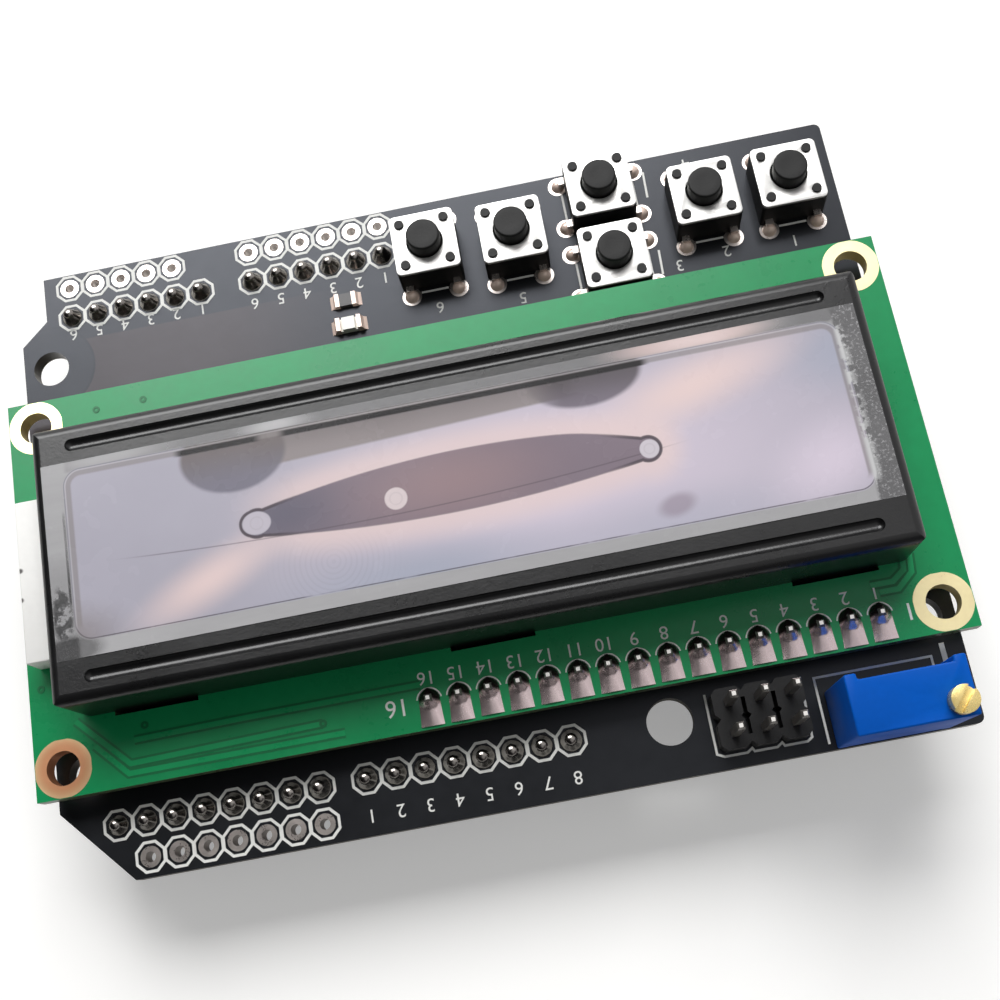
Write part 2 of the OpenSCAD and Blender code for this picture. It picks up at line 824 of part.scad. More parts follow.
module switch_cover() {
    stake_fit = 0.02;
    color([0.85, 0.85, 0.84])
        translate([0, 0, switch_h])
            difference() {
                linear_extrude(cover_t)
                    round_rect(switch_w, switch_w, cover_corner_r);
                translate([0, 0, -eps])
                    cylinder(h = cover_t + 2 * eps, d = plunger_d + 2 * cover_gap);
                for (sx = [-1, 1], sy = [-1, 1])
                    translate([sx * stake_pitch / 2, sy * stake_pitch / 2, -eps])
                        cylinder(h = cover_t + 2 * eps, d = stake_d + 2 * stake_fit);
            }
}

module switch_dome() {
    color("silver")
        translate([0, 0, switch_floor])
            rotate_extrude()
                difference() {
                    polygon(cap_points(dome_r, dome_h));
                    polygon(cap_points(dome_r - dome_t, dome_h - dome_t));
                }
}

module switch_plunger() {
    nub_r = 0.9;
    color([0.09, 0.09, 0.1]) {
        translate([0, 0, plunger_nub_z])
            cylinder(h = flange_z - plunger_nub_z + eps, r = nub_r);
        translate([0, 0, flange_z])
            cylinder(h = flange_top - flange_z, r = flange_r);
        translate([0, 0, flange_top - eps])
            cylinder(h = plunger_top - flange_top + eps, d = plunger_d);
    }
}

// Tab slots of the display board, in the frame's own plan
module at_tabs() {
    for (i = [-1:1], sy = [-1, 1])
        translate([i * tab_pitch, sy * wall_y, 0])
            children();
}

module lcd_board() {
    slot_l = tab_w + 2 * tab_clearance;
    slot_w = bezel_t + 2 * tab_clearance;
    color([0.05, 0.4, 0.18])
        translate([0, 0, lcd_z])
            difference() {
                translate([-lcd_w / 2, lcd_rear_y, 0])
                    cube([lcd_w, lcd_d, lcd_t]);
                drill(lcd_holes_at, lcd_hole_d, lcd_t);
                drill(lcd_pins_at, pad_hole_d, lcd_t);
                translate([frame_x, frame_y, lcd_t / 2])
                    at_tabs()
                        cube([slot_l, slot_w, lcd_t + 2 * eps], center = true);
            }
}

module lcd_header_strip() {
    strip(lcd_pins_at, board_top, lcd_gap);
}

module lcd_header_pins() {
    pins(lcd_pins_at, board_z - pin_stub, pin_stub + board_t + lcd_gap + lcd_t + pin_stub);
}

module lcd_solder() {
    color([0.75, 0.72, 0.72])
        pin_joints(lcd_pins_at, lcd_top, solder_rise);
}

// Stiffening bead pressed into the frame's face, as a capsule of radius r
module bead(r, centre_z) {
    half = bead_len / 2 - bead_w / 2;
    translate([0, 0, centre_z]) {
        translate([-half, 0, 0])
            rotate([0, 90, 0])
                cylinder(h = 2 * half, r = r);
        for (sx = [-1, 1])
            translate([sx * half, 0, 0])
                sphere(r);
    }
}

module lcd_bezel() {
    least_r = 0.05;
    inner_r = max(bezel_r - bezel_t, least_r);
    bead_r = (bead_w * bead_w / 4 + bead_depth * bead_depth) / (2 * bead_depth);
    bead_z = bezel_h + bead_r - bead_depth;
    foot_l = 1.6;
    color([0.1, 0.1, 0.11])
        translate([frame_x, frame_y, lcd_top]) {
            difference() {
                union() {
                    difference() {
                        pressed_block(bezel_w, bezel_d, bezel_h, bezel_r);
                        translate([0, 0, -eps])
                            pressed_block(cavity_w, cavity_d, bezel_h - bezel_t + eps, inner_r);
                    }
                    intersection() {
                        for (sy = [-1, 1])
                            translate([0, sy * bead_y, 0])
                                bead(bead_r + bezel_t, bead_z);
                        translate([-cavity_w / 2, -cavity_d / 2, 0])
                            cube([cavity_w, cavity_d, bezel_h - bezel_t / 2]);
                    }
                }
                for (sy = [-1, 1])
                    translate([0, sy * bead_y, 0])
                        bead(bead_r, bead_z);
                translate([0, window_y, bezel_h - 2 * bezel_t])
                    linear_extrude(3 * bezel_t)
                        round_rect(window_w, window_d, window_r);
                translate([cavity_w / 2 - eps, -block_w / 2 - cell_clearance, -eps])
                    cube([bezel_t + 2 * eps, block_w + 2 * cell_clearance, block_h + cell_clearance]);
            }
            at_tabs()
                translate([-tab_w / 2, -bezel_t / 2, -lcd_t - bezel_t])
                    cube([tab_w, bezel_t, lcd_t + bezel_t + eps]);
            for (i = [-1:1], sy = [-1, 1])
                translate([i * tab_pitch, sy * (wall_y - foot_l / 2), -lcd_t - bezel_t / 2])
                    cube([tab_w, foot_l, bezel_t], center = true);
        }
}

// Flat sheet of the display cell, centred in the frame or moved forward
module sheet(w, d, z, t, forward = 0) {
    translate([frame_x - w / 2, frame_y + forward - d / 2, z])
        cube([w, d, t]);
}

module front_polariser() {
    color([0.35, 0.34, 0.4])
        sheet(window_w + polariser_lap, window_d + polariser_lap, front_polariser_z, polariser_t, window_y);
}

module front_glass() {
    color([0.7, 0.75, 0.72, 0.6])
        sheet(cell_w, front_glass_d, front_glass_z, glass_t);
}

module rear_glass() {
    color([0.7, 0.75, 0.72, 0.6])
        sheet(cell_w, rear_glass_d, rear_glass_z, glass_t);
}

module rear_polariser() {
    color([0.4, 0.4, 0.42])
        sheet(cell_w - 2 * guide_rim, rear_glass_d, rear_polariser_z, polariser_t);
}

module protective_film() {
    color([0.8, 0.78, 0.85, 0.4])
        sheet(film_w, film_d, bezel_top, film_t, film_y);
}

module backlight_housing() {
    color("white")
        difference() {
            union() {
                sheet(cell_w, backlight_d, lcd_top, backlight_h);
                translate([frame_x + cell_w / 2 - eps, frame_y - block_w / 2, lcd_top])
                    cube([cell_clearance + bezel_t + block_len + eps, block_w, block_h]);
            }
            sheet(cell_w - 2 * guide_rim, backlight_d - 2 * guide_rim, lcd_top + guide_floor, backlight_h);
        }
}

module light_guide() {
    slack = 0.1;
    color([0.9, 0.92, 0.9, 0.6])
        sheet(
            cell_w - 2 * guide_rim - 2 * slack,
            backlight_d - 2 * guide_rim - 2 * slack,
            lcd_top + guide_floor,
            backlight_h - guide_floor
        );
}

module diffuser_sheet() {
    color("whitesmoke")
        sheet(cell_w - guide_rim, backlight_d, diffuser_z, diffuser_t);
}

// Rubber strips between the display board and the front glass's contact edges
module zebra_strips() {
    inset = front_glass_d / 2 - zebra_w / 2 - cell_clearance;
    color([0.85, 0.6, 0.65])
        for (side = [-1, 1])
            sheet(cell_w - zebra_short, zebra_w, lcd_top, front_glass_z - lcd_top, side * inset);
}

module controller_blobs() {
    blob_h = 1.1;
    blob_r = 6;
    blob_spacing = 34;
    color([0.05, 0.05, 0.06])
        for (sx = [-1, 1])
            translate([sx * blob_spacing / 2, lcd_y, lcd_z])
                mirror([0, 0, 1])
                    rotate_extrude()
                        polygon(cap_points(blob_r, blob_h));
}

shield_board();
digital_low_strip();
digital_low_pins();
digital_high_strip();
digital_high_pins();
power_strip();
power_pins();
analog_strip();
analog_pins();
header_solder();
icsp_strip();
icsp_pins();
trimmer_body();
trimmer_screw();
trimmer_leads();
power_led();
chip_resistors();
backlight_transistor();
switch_terminals();
switch_solder();
underside_solder();
lcd_board();
lcd_header_strip();
lcd_header_pins();
lcd_solder();
lcd_bezel();
front_polariser();
front_glass();
rear_glass();
rear_polariser();
protective_film();
backlight_housing();
light_guide();
diffuser_sheet();
zebra_strips();
controller_blobs();
for (i = [0:len(switch_names) - 1]) {
    at_switch(switch_at[i]) switch_base();
    at_switch(switch_at[i]) switch_cover();
    at_switch(switch_at[i]) switch_dome();
    at_switch(switch_at[i]) switch_plunger();
}
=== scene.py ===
"""Visual model of a display and keypad board that plugs onto a controller board."""
import json
import math

import bmesh
import bpy
from bpy.props import FloatProperty, FloatVectorProperty, IntProperty, PointerProperty
from mathutils import Matrix, Vector


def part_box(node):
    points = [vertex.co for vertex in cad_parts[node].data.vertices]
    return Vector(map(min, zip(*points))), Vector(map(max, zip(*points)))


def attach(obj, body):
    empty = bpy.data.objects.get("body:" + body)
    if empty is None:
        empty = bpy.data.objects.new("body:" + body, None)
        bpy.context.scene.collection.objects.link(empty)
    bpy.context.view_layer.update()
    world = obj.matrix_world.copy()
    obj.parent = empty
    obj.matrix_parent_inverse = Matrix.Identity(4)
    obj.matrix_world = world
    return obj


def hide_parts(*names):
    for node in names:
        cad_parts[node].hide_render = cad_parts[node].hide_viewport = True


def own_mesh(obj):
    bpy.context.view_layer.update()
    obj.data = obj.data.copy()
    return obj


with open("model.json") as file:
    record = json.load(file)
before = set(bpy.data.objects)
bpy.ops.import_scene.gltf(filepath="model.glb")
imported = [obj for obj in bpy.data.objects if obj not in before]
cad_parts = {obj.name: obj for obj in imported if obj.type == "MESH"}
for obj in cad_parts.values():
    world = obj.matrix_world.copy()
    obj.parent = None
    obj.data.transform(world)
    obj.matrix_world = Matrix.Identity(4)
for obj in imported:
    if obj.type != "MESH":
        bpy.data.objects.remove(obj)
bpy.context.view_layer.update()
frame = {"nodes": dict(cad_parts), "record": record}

bl_info = {
    "name": "Display and keypad board",
    "version": (1, 0, 0),
    "blender": (4, 5, 0),
    "location": "3D View > Sidebar > Keypad board",
    "description": "Builds the looks of a display and keypad board on its packed frame",
    "category": "Object",
}

MM = 0.001
PITCH = 2.54 * MM
MAIN_BODY = "board"
SWITCHES = ("select", "left", "up", "down", "right", "reset")
# How far print, tracks and solder sink into the board that carries them
SINK = 0.01 * MM
# Distances under which the points of a CAD node and of a modelled piece are joined
NODE_JOIN, PIECE_JOIN = 1e-7, 1e-9
# Edges that turn by more than this many degrees stay sharp in the shading, or are rounded
CREASE_ANGLE, ROUND_ANGLE = 35, 50
# Type size of a printed number in shares of its digits' height
TYPE_SIZE = 1.4
# Materials by name, made by the finishes operator
FINISHES = {}


def tone(red, green, blue):
    """Linear colour of a display colour given in 0 to 255."""
    shares = [level / 255 for level in (red, green, blue)]
    return tuple(s / 12.92 if s <= 0.04045 else ((s + 0.055) / 1.055) ** 2.4 for s in shares)


def length(label, words, default_mm):
    """A length property whose default is given in millimetres."""
    return FloatProperty(
        name=label, description=words, default=default_mm * MM, min=0, unit="LENGTH", precision=5
    )


def paint(label, words, *default):
    """A colour property whose default is given in 0 to 255."""
    return FloatVectorProperty(
        name=label, description=words, subtype="COLOR", size=3, min=0, max=1, default=tone(*default)
    )


class BoardSizes(bpy.types.PropertyGroup):
    """Sizes of the printed, soldered and moulded detail."""

    print_width: length("Print width", "Width of the white printed lines", 0.2)
    print_height: length("Print height", "Height of the ink above the board", 0.02)
    digit_height: length("Digit height", "Height of the printed numbers", 1.15)
    pad_radius: length("Pad radius", "Outer radius of the tinned pads", 0.9)
    hole_radius: length("Hole radius", "Radius of the drilled pad holes", 0.5)
    outline_line: length("Outline line", "Width of the line of each pad outline", 0.26)
    outline_width: length("Outline width", "Width of the eight-sided outline round each pad", 2.68)
    joint_height: length("Joint height", "Height of the header solder joints", 1.3)
    leg_joint_height: length("Leg joint height", "Height of the switch solder joints", 0.7)
    ring_width: length("Ring width", "Width of the plated ring round each display hole", 1.0)
    track_width: length("Track width", "Width of the display board's copper tracks", 0.45)
    button_round: length("Button rounding", "Radius of the button's top edge", 0.18)
    cover_round: length("Cover rounding", "Radius of the switch cover's edges", 0.09)
    film_ripple: length("Film ripple", "Height of the ripples in the protective film", 0.05)
    joint_sides: IntProperty(name="Joint sides", description="Sides of each solder joint", default=28, min=8)


class BoardColours(bpy.types.PropertyGroup):
    """Colours of the boards, plastics, metals and the film."""

    mask_black: paint("Black mask", "Carrier board's solder mask", 20, 21, 23)
    mask_green: paint("Green mask", "Display board's solder mask", 0, 138, 80)
    ink: paint("Ink", "Printed lines and numbers", 236, 236, 232)
    tin: paint("Tin", "Solder and tinned pads", 220, 211, 205)
    gold: paint("Gold", "Plated rings of the display board's holes", 255, 236, 184)
    plastic: paint("Black plastic", "Header strips and switch bases", 22, 22, 23)
    button: paint("Button", "Round buttons", 25, 25, 25)
    steel: paint("Steel", "Switch covers", 240, 239, 236)
    frame: paint("Frame", "Metal frame of the display", 20, 20, 21)
    film: paint("Film", "Film where it lies dry", 176, 173, 186)
    # Painted reflections of the room on the film: warm, cool and lilac tints; the warm one also colours the
    # pale band round the wet patch
    film_warm: paint("Film bands", "Warm parts of the film round the wet patch", 234, 211, 209)
    film_cool: paint("Film cool", "Bluish parts of the film", 168, 173, 190)
    film_lilac: paint("Film lilac", "Pale right part of the film", 222, 210, 225)
    film_shade: paint("Film shade", "Shaded band along the film's rear edge", 138, 130, 130)
    film_wet: paint("Film patch", "Wet patch under the film", 134, 121, 132)
    blue: paint("Trimmer blue", "Housing of the contrast trimmer", 0, 85, 184)
    brass: paint("Brass", "Adjusting screw", 255, 226, 150)
    white: paint("Backlight", "End block of the backlight", 252, 251, 248)


class BoardStage(bpy.types.PropertyGroup):
    """Camera and light."""

    lens: FloatProperty(name="Lens", description="Focal length", default=47.494, min=10, unit="CAMERA")
    eye: FloatVectorProperty(
        name="Eye", description="Place of the camera", subtype="TRANSLATION", unit="LENGTH",
        default=(-0.006938, 0.035261, 0.123691),
    )
    ahead: FloatVectorProperty(
        name="Ahead", description="Direction of view", subtype="DIRECTION",
        default=(0.034766, -0.281717, -0.958867),
    )
    sideways: FloatVectorProperty(
        name="Sideways", description="Direction of the picture's right", subtype="DIRECTION",
        default=(-0.980981, 0.173712, -0.086604),
    )
    key_power: FloatProperty(
        name="Key power", description="Power of the two rear lamps", default=13.4, min=0, unit="POWER"
    )
    fill_power: FloatProperty(
        name="Fill power", description="Power of the top lamp", default=0.1, min=0, unit="POWER"
    )
    room: FloatProperty(name="Room light", description="Strength of the room's even light", default=0.19, min=0)


def feed(tree, socket, value):
    """Joins an input to a socket, or sets it to a value or a colour."""
    if isinstance(value, bpy.types.NodeSocket):
        tree.links.new(value, socket)
    elif socket.type == "RGBA" and len(value) == 3:
        socket.default_value = (*value, 1)
    else:
        socket.default_value = value


def put(tree, kind, values=None, **options):
    """Adds a node with its options and feeds its inputs."""
    node = tree.nodes.new(kind)
    for key, value in options.items():
        setattr(node, key, value)
    for key, value in (values or {}).items():
        feed(tree, node.inputs[key], value)
    return node


def calc(tree, operation, first, second=0.0, third=0.0):
    """Result of a maths node."""
    return put(tree, "ShaderNodeMath", {0: first, 1: second, 2: third}, operation=operation).outputs[0]


def product(tree, first, *others):
    """Masks or strengths multiplied together."""
    for other in others:
        first = calc(tree, "MULTIPLY", first, other)
    return first


def vector(tree, operation, first, second):
    """Result of a vector maths node."""
    return put(tree, "ShaderNodeVectorMath", {0: first, 1: second}, operation=operation).outputs[0]


def size_of(tree, value):
    """Length of a vector."""
    return put(tree, "ShaderNodeVectorMath", {0: value}, operation="LENGTH").outputs["Value"]


def blend(tree, share, first, second):
    """Mix of two colours."""
    return put(tree, "ShaderNodeMix", {0: share, 6: first, 7: second}, data_type="RGBA").outputs[2]


def between(tree, share, first, second):
    """Mix of two values."""
    return put(tree, "ShaderNodeMix", {0: share, 2: first, 3: second}).outputs[0]


def clamped(tree, value):
    """A value kept within 0 and 1."""
    return put(tree, "ShaderNodeClamp", {0: value}).outputs[0]


def fade(tree, value, low, high, start=0.0, stop=1.0):
    """Smooth step of a value from one level to another."""
    values = {0: value, 1: low, 2: high, 3: start, 4: stop}
    return put(tree, "ShaderNodeMapRange", values, interpolation_type="SMOOTHSTEP").outputs[0]


def span(tree, value, low, high, soft):
    """Mask of the values between two levels."""
    return product(tree, fade(tree, value, low - soft, low), fade(tree, value, high + soft, high))


def line_mask(tree, value, place, half, solid, strength=1.0):
    """Mask of a line where a value comes to a place, solid in its middle and gone at its half width."""
    away = calc(tree, "ABSOLUTE", calc(tree, "SUBTRACT", value, place))
    return fade(tree, away, half, solid, 0, strength)


def surface(tree):
    """Place on a surface, in the piece's own coordinates."""
    return put(tree, "ShaderNodeTexCoord").outputs["Object"]


def noise(tree, place, scale, detail, roughness=0.5):
    """Smooth random values over a surface."""
    values = {"Vector": place, "Scale": scale, "Detail": detail, "Roughness": roughness}
    return put(tree, "ShaderNodeTexNoise", values).outputs[0]


def speckles(tree, scale, low, high, stretch=(1, 1, 1)):
    """Mask of scattered marks."""
    place = vector(tree, "MULTIPLY", surface(tree), stretch)
    return fade(tree, noise(tree, place, scale, 4.0, 0.65), low, high)


def in_mm(tree):
    """Place on a surface in millimetres, along and across the board."""
    apart = put(tree, "ShaderNodeSeparateXYZ", {0: surface(tree)})
    return [calc(tree, "DIVIDE", apart.outputs[axis], MM) for axis in (0, 1)]


def arc_gap(tree, centre, radius):
    """Distance in millimetres outside a circle seen from above."""
    flat = vector(tree, "MULTIPLY", surface(tree), (1 / MM, 1 / MM, 0))
    far = size_of(tree, vector(tree, "SUBTRACT", flat, (*centre, 0)))
    return calc(tree, "SUBTRACT", far, radius)


def new_group(name, kind, takes, gives):
    """An empty node group with named sockets, and its two end nodes."""
    tree = bpy.data.node_groups.new(name, kind)
    for label, socket, default in takes:
        made = tree.interface.new_socket(name=label, in_out="INPUT", socket_type=socket)
        if default is not None:
            made.default_value = default
    for label, socket in gives:
        tree.interface.new_socket(name=label, in_out="OUTPUT", socket_type=socket)
    return tree, tree.nodes.new("NodeGroupInput"), tree.nodes.new("NodeGroupOutput")


def mottle_group(quick_scale=9.0, quick_share=0.35):
    """Slow and quick variation of tone over a surface."""
    tree, take, give = new_group(
        "Mottle", "ShaderNodeTree",
        [("Light", "NodeSocketColor", None), ("Dark", "NodeSocketColor", None),
         ("Scale", "NodeSocketFloat", 300.0), ("Contrast", "NodeSocketFloat", 1.0)],
        [("Colour", "NodeSocketColor"), ("Mask", "NodeSocketFloat")],
    )
    place, scale = surface(tree), take.outputs["Scale"]
    slow = noise(tree, place, scale, 3.0)
    quick = noise(tree, place, product(tree, scale, quick_scale), 2.0)
    mixed = calc(tree, "MULTIPLY_ADD", quick, quick_share, product(tree, slow, 1 - quick_share))
    sharp = calc(tree, "MULTIPLY_ADD", calc(tree, "SUBTRACT", mixed, 0.5), take.outputs["Contrast"], 0.5)
    mask = clamped(tree, sharp)
    feed(tree, give.inputs["Colour"], blend(tree, mask, take.outputs["Dark"], take.outputs["Light"]))
    feed(tree, give.inputs["Mask"], mask)


def relief_group(broad_scale=0.12):
    """Fine unevenness for a bump."""
    tree, take, give = new_group(
        "Relief", "ShaderNodeTree", [("Scale", "NodeSocketFloat", 3000.0)], [("Height", "NodeSocketFloat")]
    )
    place, scale = surface(tree), take.outputs["Scale"]
    fine = noise(tree, place, scale, 4.0)
    broad = noise(tree, place, product(tree, scale, broad_scale), 2.0)
    feed(tree, give.inputs["Height"], calc(tree, "ADD", fine, broad))


def patch_group():
    """Soft oval mask at a place on a surface seen from above."""
    tree, take, give = new_group(
        "Patch", "ShaderNodeTree",
        [("Centre", "NodeSocketVector", None), ("Reach", "NodeSocketVector", (MM, MM, 1.0)),
         ("Softness", "NodeSocketFloat", 0.3), ("Turn", "NodeSocketFloat", 0.0)],
        [("Mask", "NodeSocketFloat")],
    )
    away = vector(tree, "SUBTRACT", surface(tree), take.outputs["Centre"])
    turned = {"Vector": away, "Angle": product(tree, take.outputs["Turn"], -1.0)}
    square = put(tree, "ShaderNodeVectorRotate", turned, rotation_type="Z_AXIS").outputs[0]
    far = size_of(tree, vector(tree, "DIVIDE", square, take.outputs["Reach"]))
    inner = calc(tree, "SUBTRACT", 1.0, take.outputs["Softness"])
    feed(tree, give.inputs["Mask"], fade(tree, far, 1.0, inner))


def upright_group():
    """Mask of the faces that stand upright, such as a board's cut edges."""
    tree, _, give = new_group("Upright faces", "ShaderNodeTree", [], [("Mask", "NodeSocketFloat")])
    facing = put(tree, "ShaderNodeNewGeometry").outputs["Normal"]
    up = put(tree, "ShaderNodeSeparateXYZ", {0: facing}).outputs[2]
    feed(tree, give.inputs["Mask"], fade(tree, calc(tree, "ABSOLUTE", up), 0.7, 0.3))


def use(tree, name, values=None):
    """Places a shared group in a material and gives its outputs."""
    return put(tree, "ShaderNodeGroup", values, node_tree=bpy.data.node_groups[name]).outputs


def shade(colour, level):
    """A colour made lighter or darker."""
    return tuple(min(1, part * level) for part in colour)


class Finish:
    """A procedural material: mottled colour, varied gloss and fine relief."""

    # Height of the relief at full strength
    DEPTH = 0.05 * MM

    def __init__(self, name, colour, spread, grain, gloss, relief, relief_scale=2500.0, metal=0.0,
                 contrast=1.5, specular=0.5):
        self.material = bpy.data.materials.new(name)
        self.material.use_nodes = True
        self.tree = self.material.node_tree
        self.shader = self.tree.nodes["Principled BSDF"]
        tones = {"Light": shade(colour, spread[1]), "Dark": shade(colour, spread[0])}
        mottle = use(self.tree, "Mottle", {**tones, "Scale": grain, "Contrast": contrast})
        self.base = mottle["Colour"]
        rough = put(self.tree, "ShaderNodeMapRange", {0: mottle["Mask"], 3: gloss[0], 4: gloss[1]})
        height = use(self.tree, "Relief", {"Scale": relief_scale})["Height"]
        bump = put(self.tree, "ShaderNodeBump", {"Height": height, "Strength": relief, "Distance": self.DEPTH})
        self.set({
            "Metallic": metal, "Specular IOR Level": specular, "Base Color": self.base,
            "Roughness": rough.outputs[0], "Normal": bump.outputs[0],
        })

    def set(self, values):
        """Sets or joins inputs of the shader."""
        for key, value in values.items():
            feed(self.tree, self.shader.inputs[key], value)

    def over(self, mask, colour, *limits):
        """Lays a colour over the finish where the mask is one, within any other masks or strengths."""
        self.base = blend(self.tree, product(self.tree, mask, *limits), self.base, colour)
        self.set({"Base Color": self.base})

    def patch(self, centre, reach, softness, turn=0.0):
        """Mask of a soft oval, placed in millimetres and turned by an angle."""
        values = {"Centre": (centre[0] * MM, centre[1] * MM, 0), "Reach": (reach[0] * MM, reach[1] * MM, 1)}
        return use(self.tree, "Patch", {**values, "Softness": softness, "Turn": turn})["Mask"]


# Bare glass fibre on the cut upright faces of the two boards, and painted shade on the upright sides of the
# standing pins, as display colours.
CUT_EDGES_AND_PIN_SHADE = {"mask_black": (70, 64, 50), "mask_green": (78, 88, 62), "pin": (92, 88, 84)}
# Where painted shade darkens the display's solder towards the rear, standing in for the dark frame it mirrors,
# in millimetres.
PAD_SHADE_REAR = (19.25, 18.85)
# The browned ring and the two marks on the backlight's end block: centre and reach in millimetres.
BROWNED_RING = ((37.5, 18.8), (3.4, 3.4))
BLOCK_MARKS = (((38.7, 1.9), (0.35, 0.3)), ((38.8, 4.5), (0.35, 0.3)))


def make_finishes(colours):
    """All the materials by name.

    A finish takes its label, colour, spread of tone, grain, range of gloss, relief and the relief's scale.
    """
    for build in (mottle_group, relief_group, patch_group, upright_group):
        build()
    made = {
        "mask_black": Finish(
            "carrier board mask", colours.mask_black, (0.7, 1.4), 90, (0.26, 0.36), 0.1, 1800, specular=0.37
        ),
        "mask_green": Finish(
            "display board mask", colours.mask_green, (0.85, 1.15), 120, (0.24, 0.34), 0.1, 1500, specular=0.35
        ),
        "track": Finish(
            "covered track", shade(colours.mask_green, 1.25), (0.9, 1.1), 300, (0.24, 0.34), 0.1, specular=0.35
        ),
        "track_gap": Finish(
            "gap beside a track", shade(colours.mask_green, 0.55), (0.9, 1.1), 300, (0.3, 0.4), 0.1,
            specular=0.3,
        ),
        "ink": Finish("white ink", colours.ink, (0.86, 1.02), 1500, (0.55, 0.7), 0.1, 4000, contrast=2.5),
        "tin": Finish("bright tin", colours.tin, (0.78, 1.05), 600, (0.22, 0.36), 0.12, 2500, metal=1.0),
        "solder": Finish(
            "solder", shade(colours.tin, 0.95), (0.75, 1.05), 500, (0.2, 0.34), 0.1, 1500, metal=0.85
        ),
        "pad_solder": Finish(
            "pad solder", tone(232, 213, 213), (0.82, 1.06), 700, (0.2, 0.32), 0.05, 1200, metal=0.85
        ),
        # A pale, mostly matt copy of the solder: painted light for the bright reflections on the legs' joints
        # and the chips' ends
        "pink_solder": Finish(
            "leg solder", tone(255, 228, 214), (0.9, 1.03), 500, (0.18, 0.28), 0.1, 1500, metal=0.15
        ),
        # A darker copy of the solder: painted shade for the dark room that the header joints mirror
        "dark_solder": Finish(
            "solder with painted dark reflections", tone(160, 155, 150), (0.6, 1.2), 700, (0.14, 0.26), 0.08, 1500, metal=1.0
        ),
        "pin": Finish(
            "standing pin", tone(248, 245, 240), (0.9, 1.02), 600, (0.25, 0.35), 0.08, 2500, metal=0.4
        ),
        "gold": Finish("plated ring", colours.gold, (0.86, 1.06), 350, (0.24, 0.4), 0.15, 2200, metal=0.7),
        "plastic": Finish(
            "black moulding", colours.plastic, (0.7, 1.4), 300, (0.5, 0.62), 0.2, 3500, specular=0.3
        ),
        "button": Finish(
            "button moulding", colours.button, (0.75, 1.25), 400, (0.5, 0.62), 0.25, 4000, specular=0.28
        ),
        "steel": Finish("cover steel", colours.steel, (0.93, 1.02), 260, (0.4, 0.5), 0.08, 3500, metal=0.8),
        "frame": Finish("satin frame", colours.frame, (0.7, 1.35), 160, (0.24, 0.34), 0.2, 4500),
        "polariser": Finish("polariser", tone(128, 124, 138), (0.9, 1.1), 120, (0.16, 0.26), 0.03, 800),
        "rubber": Finish("contact rubber", tone(62, 62, 64), (0.8, 1.2), 900, (0.6, 0.75), 0.2, 3000),
        "blue": Finish("blue housing", colours.blue, (0.88, 1.1), 260, (0.4, 0.5), 0.18, 3000, specular=0.1),
        "brass": Finish("turned brass", colours.brass, (0.86, 1.06), 700, (0.2, 0.34), 0.2, 5000, metal=0.65),
        "white": Finish("white housing", colours.white, (0.93, 1.03), 200, (0.42, 0.55), 0.1, 2500),
        "lamp": Finish("milky lamp", tone(240, 240, 232), (0.92, 1.02), 900, (0.25, 0.35), 0.1, 3000),
        "chip": Finish("chip body", tone(40, 38, 40), (0.7, 1.3), 900, (0.3, 0.42), 0.15, 3500),
        "guide": Finish("light guide", tone(226, 232, 230), (0.95, 1.02), 150, (0.12, 0.2), 0.03, 800),
        "glass": Finish("cell glass", tone(206, 214, 208), (0.97, 1.02), 120, (0.05, 0.1), 0.02, 500),
    }
    made["glass"].set({"Transmission Weight": 0.9, "IOR": 1.52})
    made["mask_black"].set({"Specular Tint": (0.86, 0.9, 1.0)})
    copper_tint(made["mask_black"])
    # Cut board edges, and painted shade on the upright sides of the pins
    for name, cut in CUT_EDGES_AND_PIN_SHADE.items():
        made[name].over(use(made[name].tree, "Upright faces")["Mask"], tone(*cut))
    frame_marks(made["frame"])
    pads, gold, white = made["pad_solder"], made["gold"], made["white"]
    # Painted shade on the rear of the display's solder, for the dark frame it mirrors
    pads.over(fade(pads.tree, in_mm(pads.tree)[1], *PAD_SHADE_REAR), tone(58, 52, 50))
    gold.over(gold.patch(*BROWNED_RING, 0.5), tone(222, 160, 118))
    for mark in BLOCK_MARKS:
        white.over(white.patch(*mark, 0.6), tone(96, 94, 92))
    made["film"] = film_finish(colours)
    return {name: finish.material for name, finish in made.items()}


# Clear ring round the rear hole, in millimetres: centre and radius.
HOLE_RING = ((37.0, -19.4), 4.2)
# Where the copper under the black mask begins at the rear, and how it grows to the rear and to the left.
COPPER_START = (-21.9, -21.7)
COPPER_REARWARD = (0.0, -10.0)
COPPER_LEFTWARD = (6.0, 22.0)


def copper_tint(finish):
    """Copper that shows brown through the black mask, with a clear ring round the rear hole."""
    tree = finish.tree
    ring = arc_gap(tree, *HOLE_RING)
    along, across = in_mm(tree)
    finish.over(
        fade(tree, ring, 0.0, 0.12), tone(50, 40, 37), fade(tree, across, *COPPER_START),
        fade(tree, along, *COPPER_LEFTWARD), fade(tree, across, *COPPER_REARWARD),
    )
    finish.over(line_mask(tree, ring, 0.0, 0.18, 0.05, 0.8), tone(10, 10, 11))


def frame_marks(finish):
    """Paler rubbed patches on the satin frame."""
    scuff = noise(finish.tree, surface(finish.tree), 420.0, 6.0, 0.7)
    finish.over(fade(finish.tree, scuff, 0.66, 0.8, 0, 0.35), tone(96, 96, 98))


# All places on the film are in millimetres, along and across the board.
# The wet patch lies inside three arcs and takes in its round ends: centre and radius.
WET_ARCS = (((-0.79, 80.25), 80.27), ((1.03, -101.62), 106.9), ((43.65, 193.1), 200.0))
WET_ENDS = (((16.85, 2.96), 1.26), ((-15.85, 3.1), 1.12), ((17.2, 2.93), 1.12))
# Where the outline of the wet patch grows darker towards its two tips.
WET_TIPS = ((12.5, 15.5), (-11.5, -15.0))
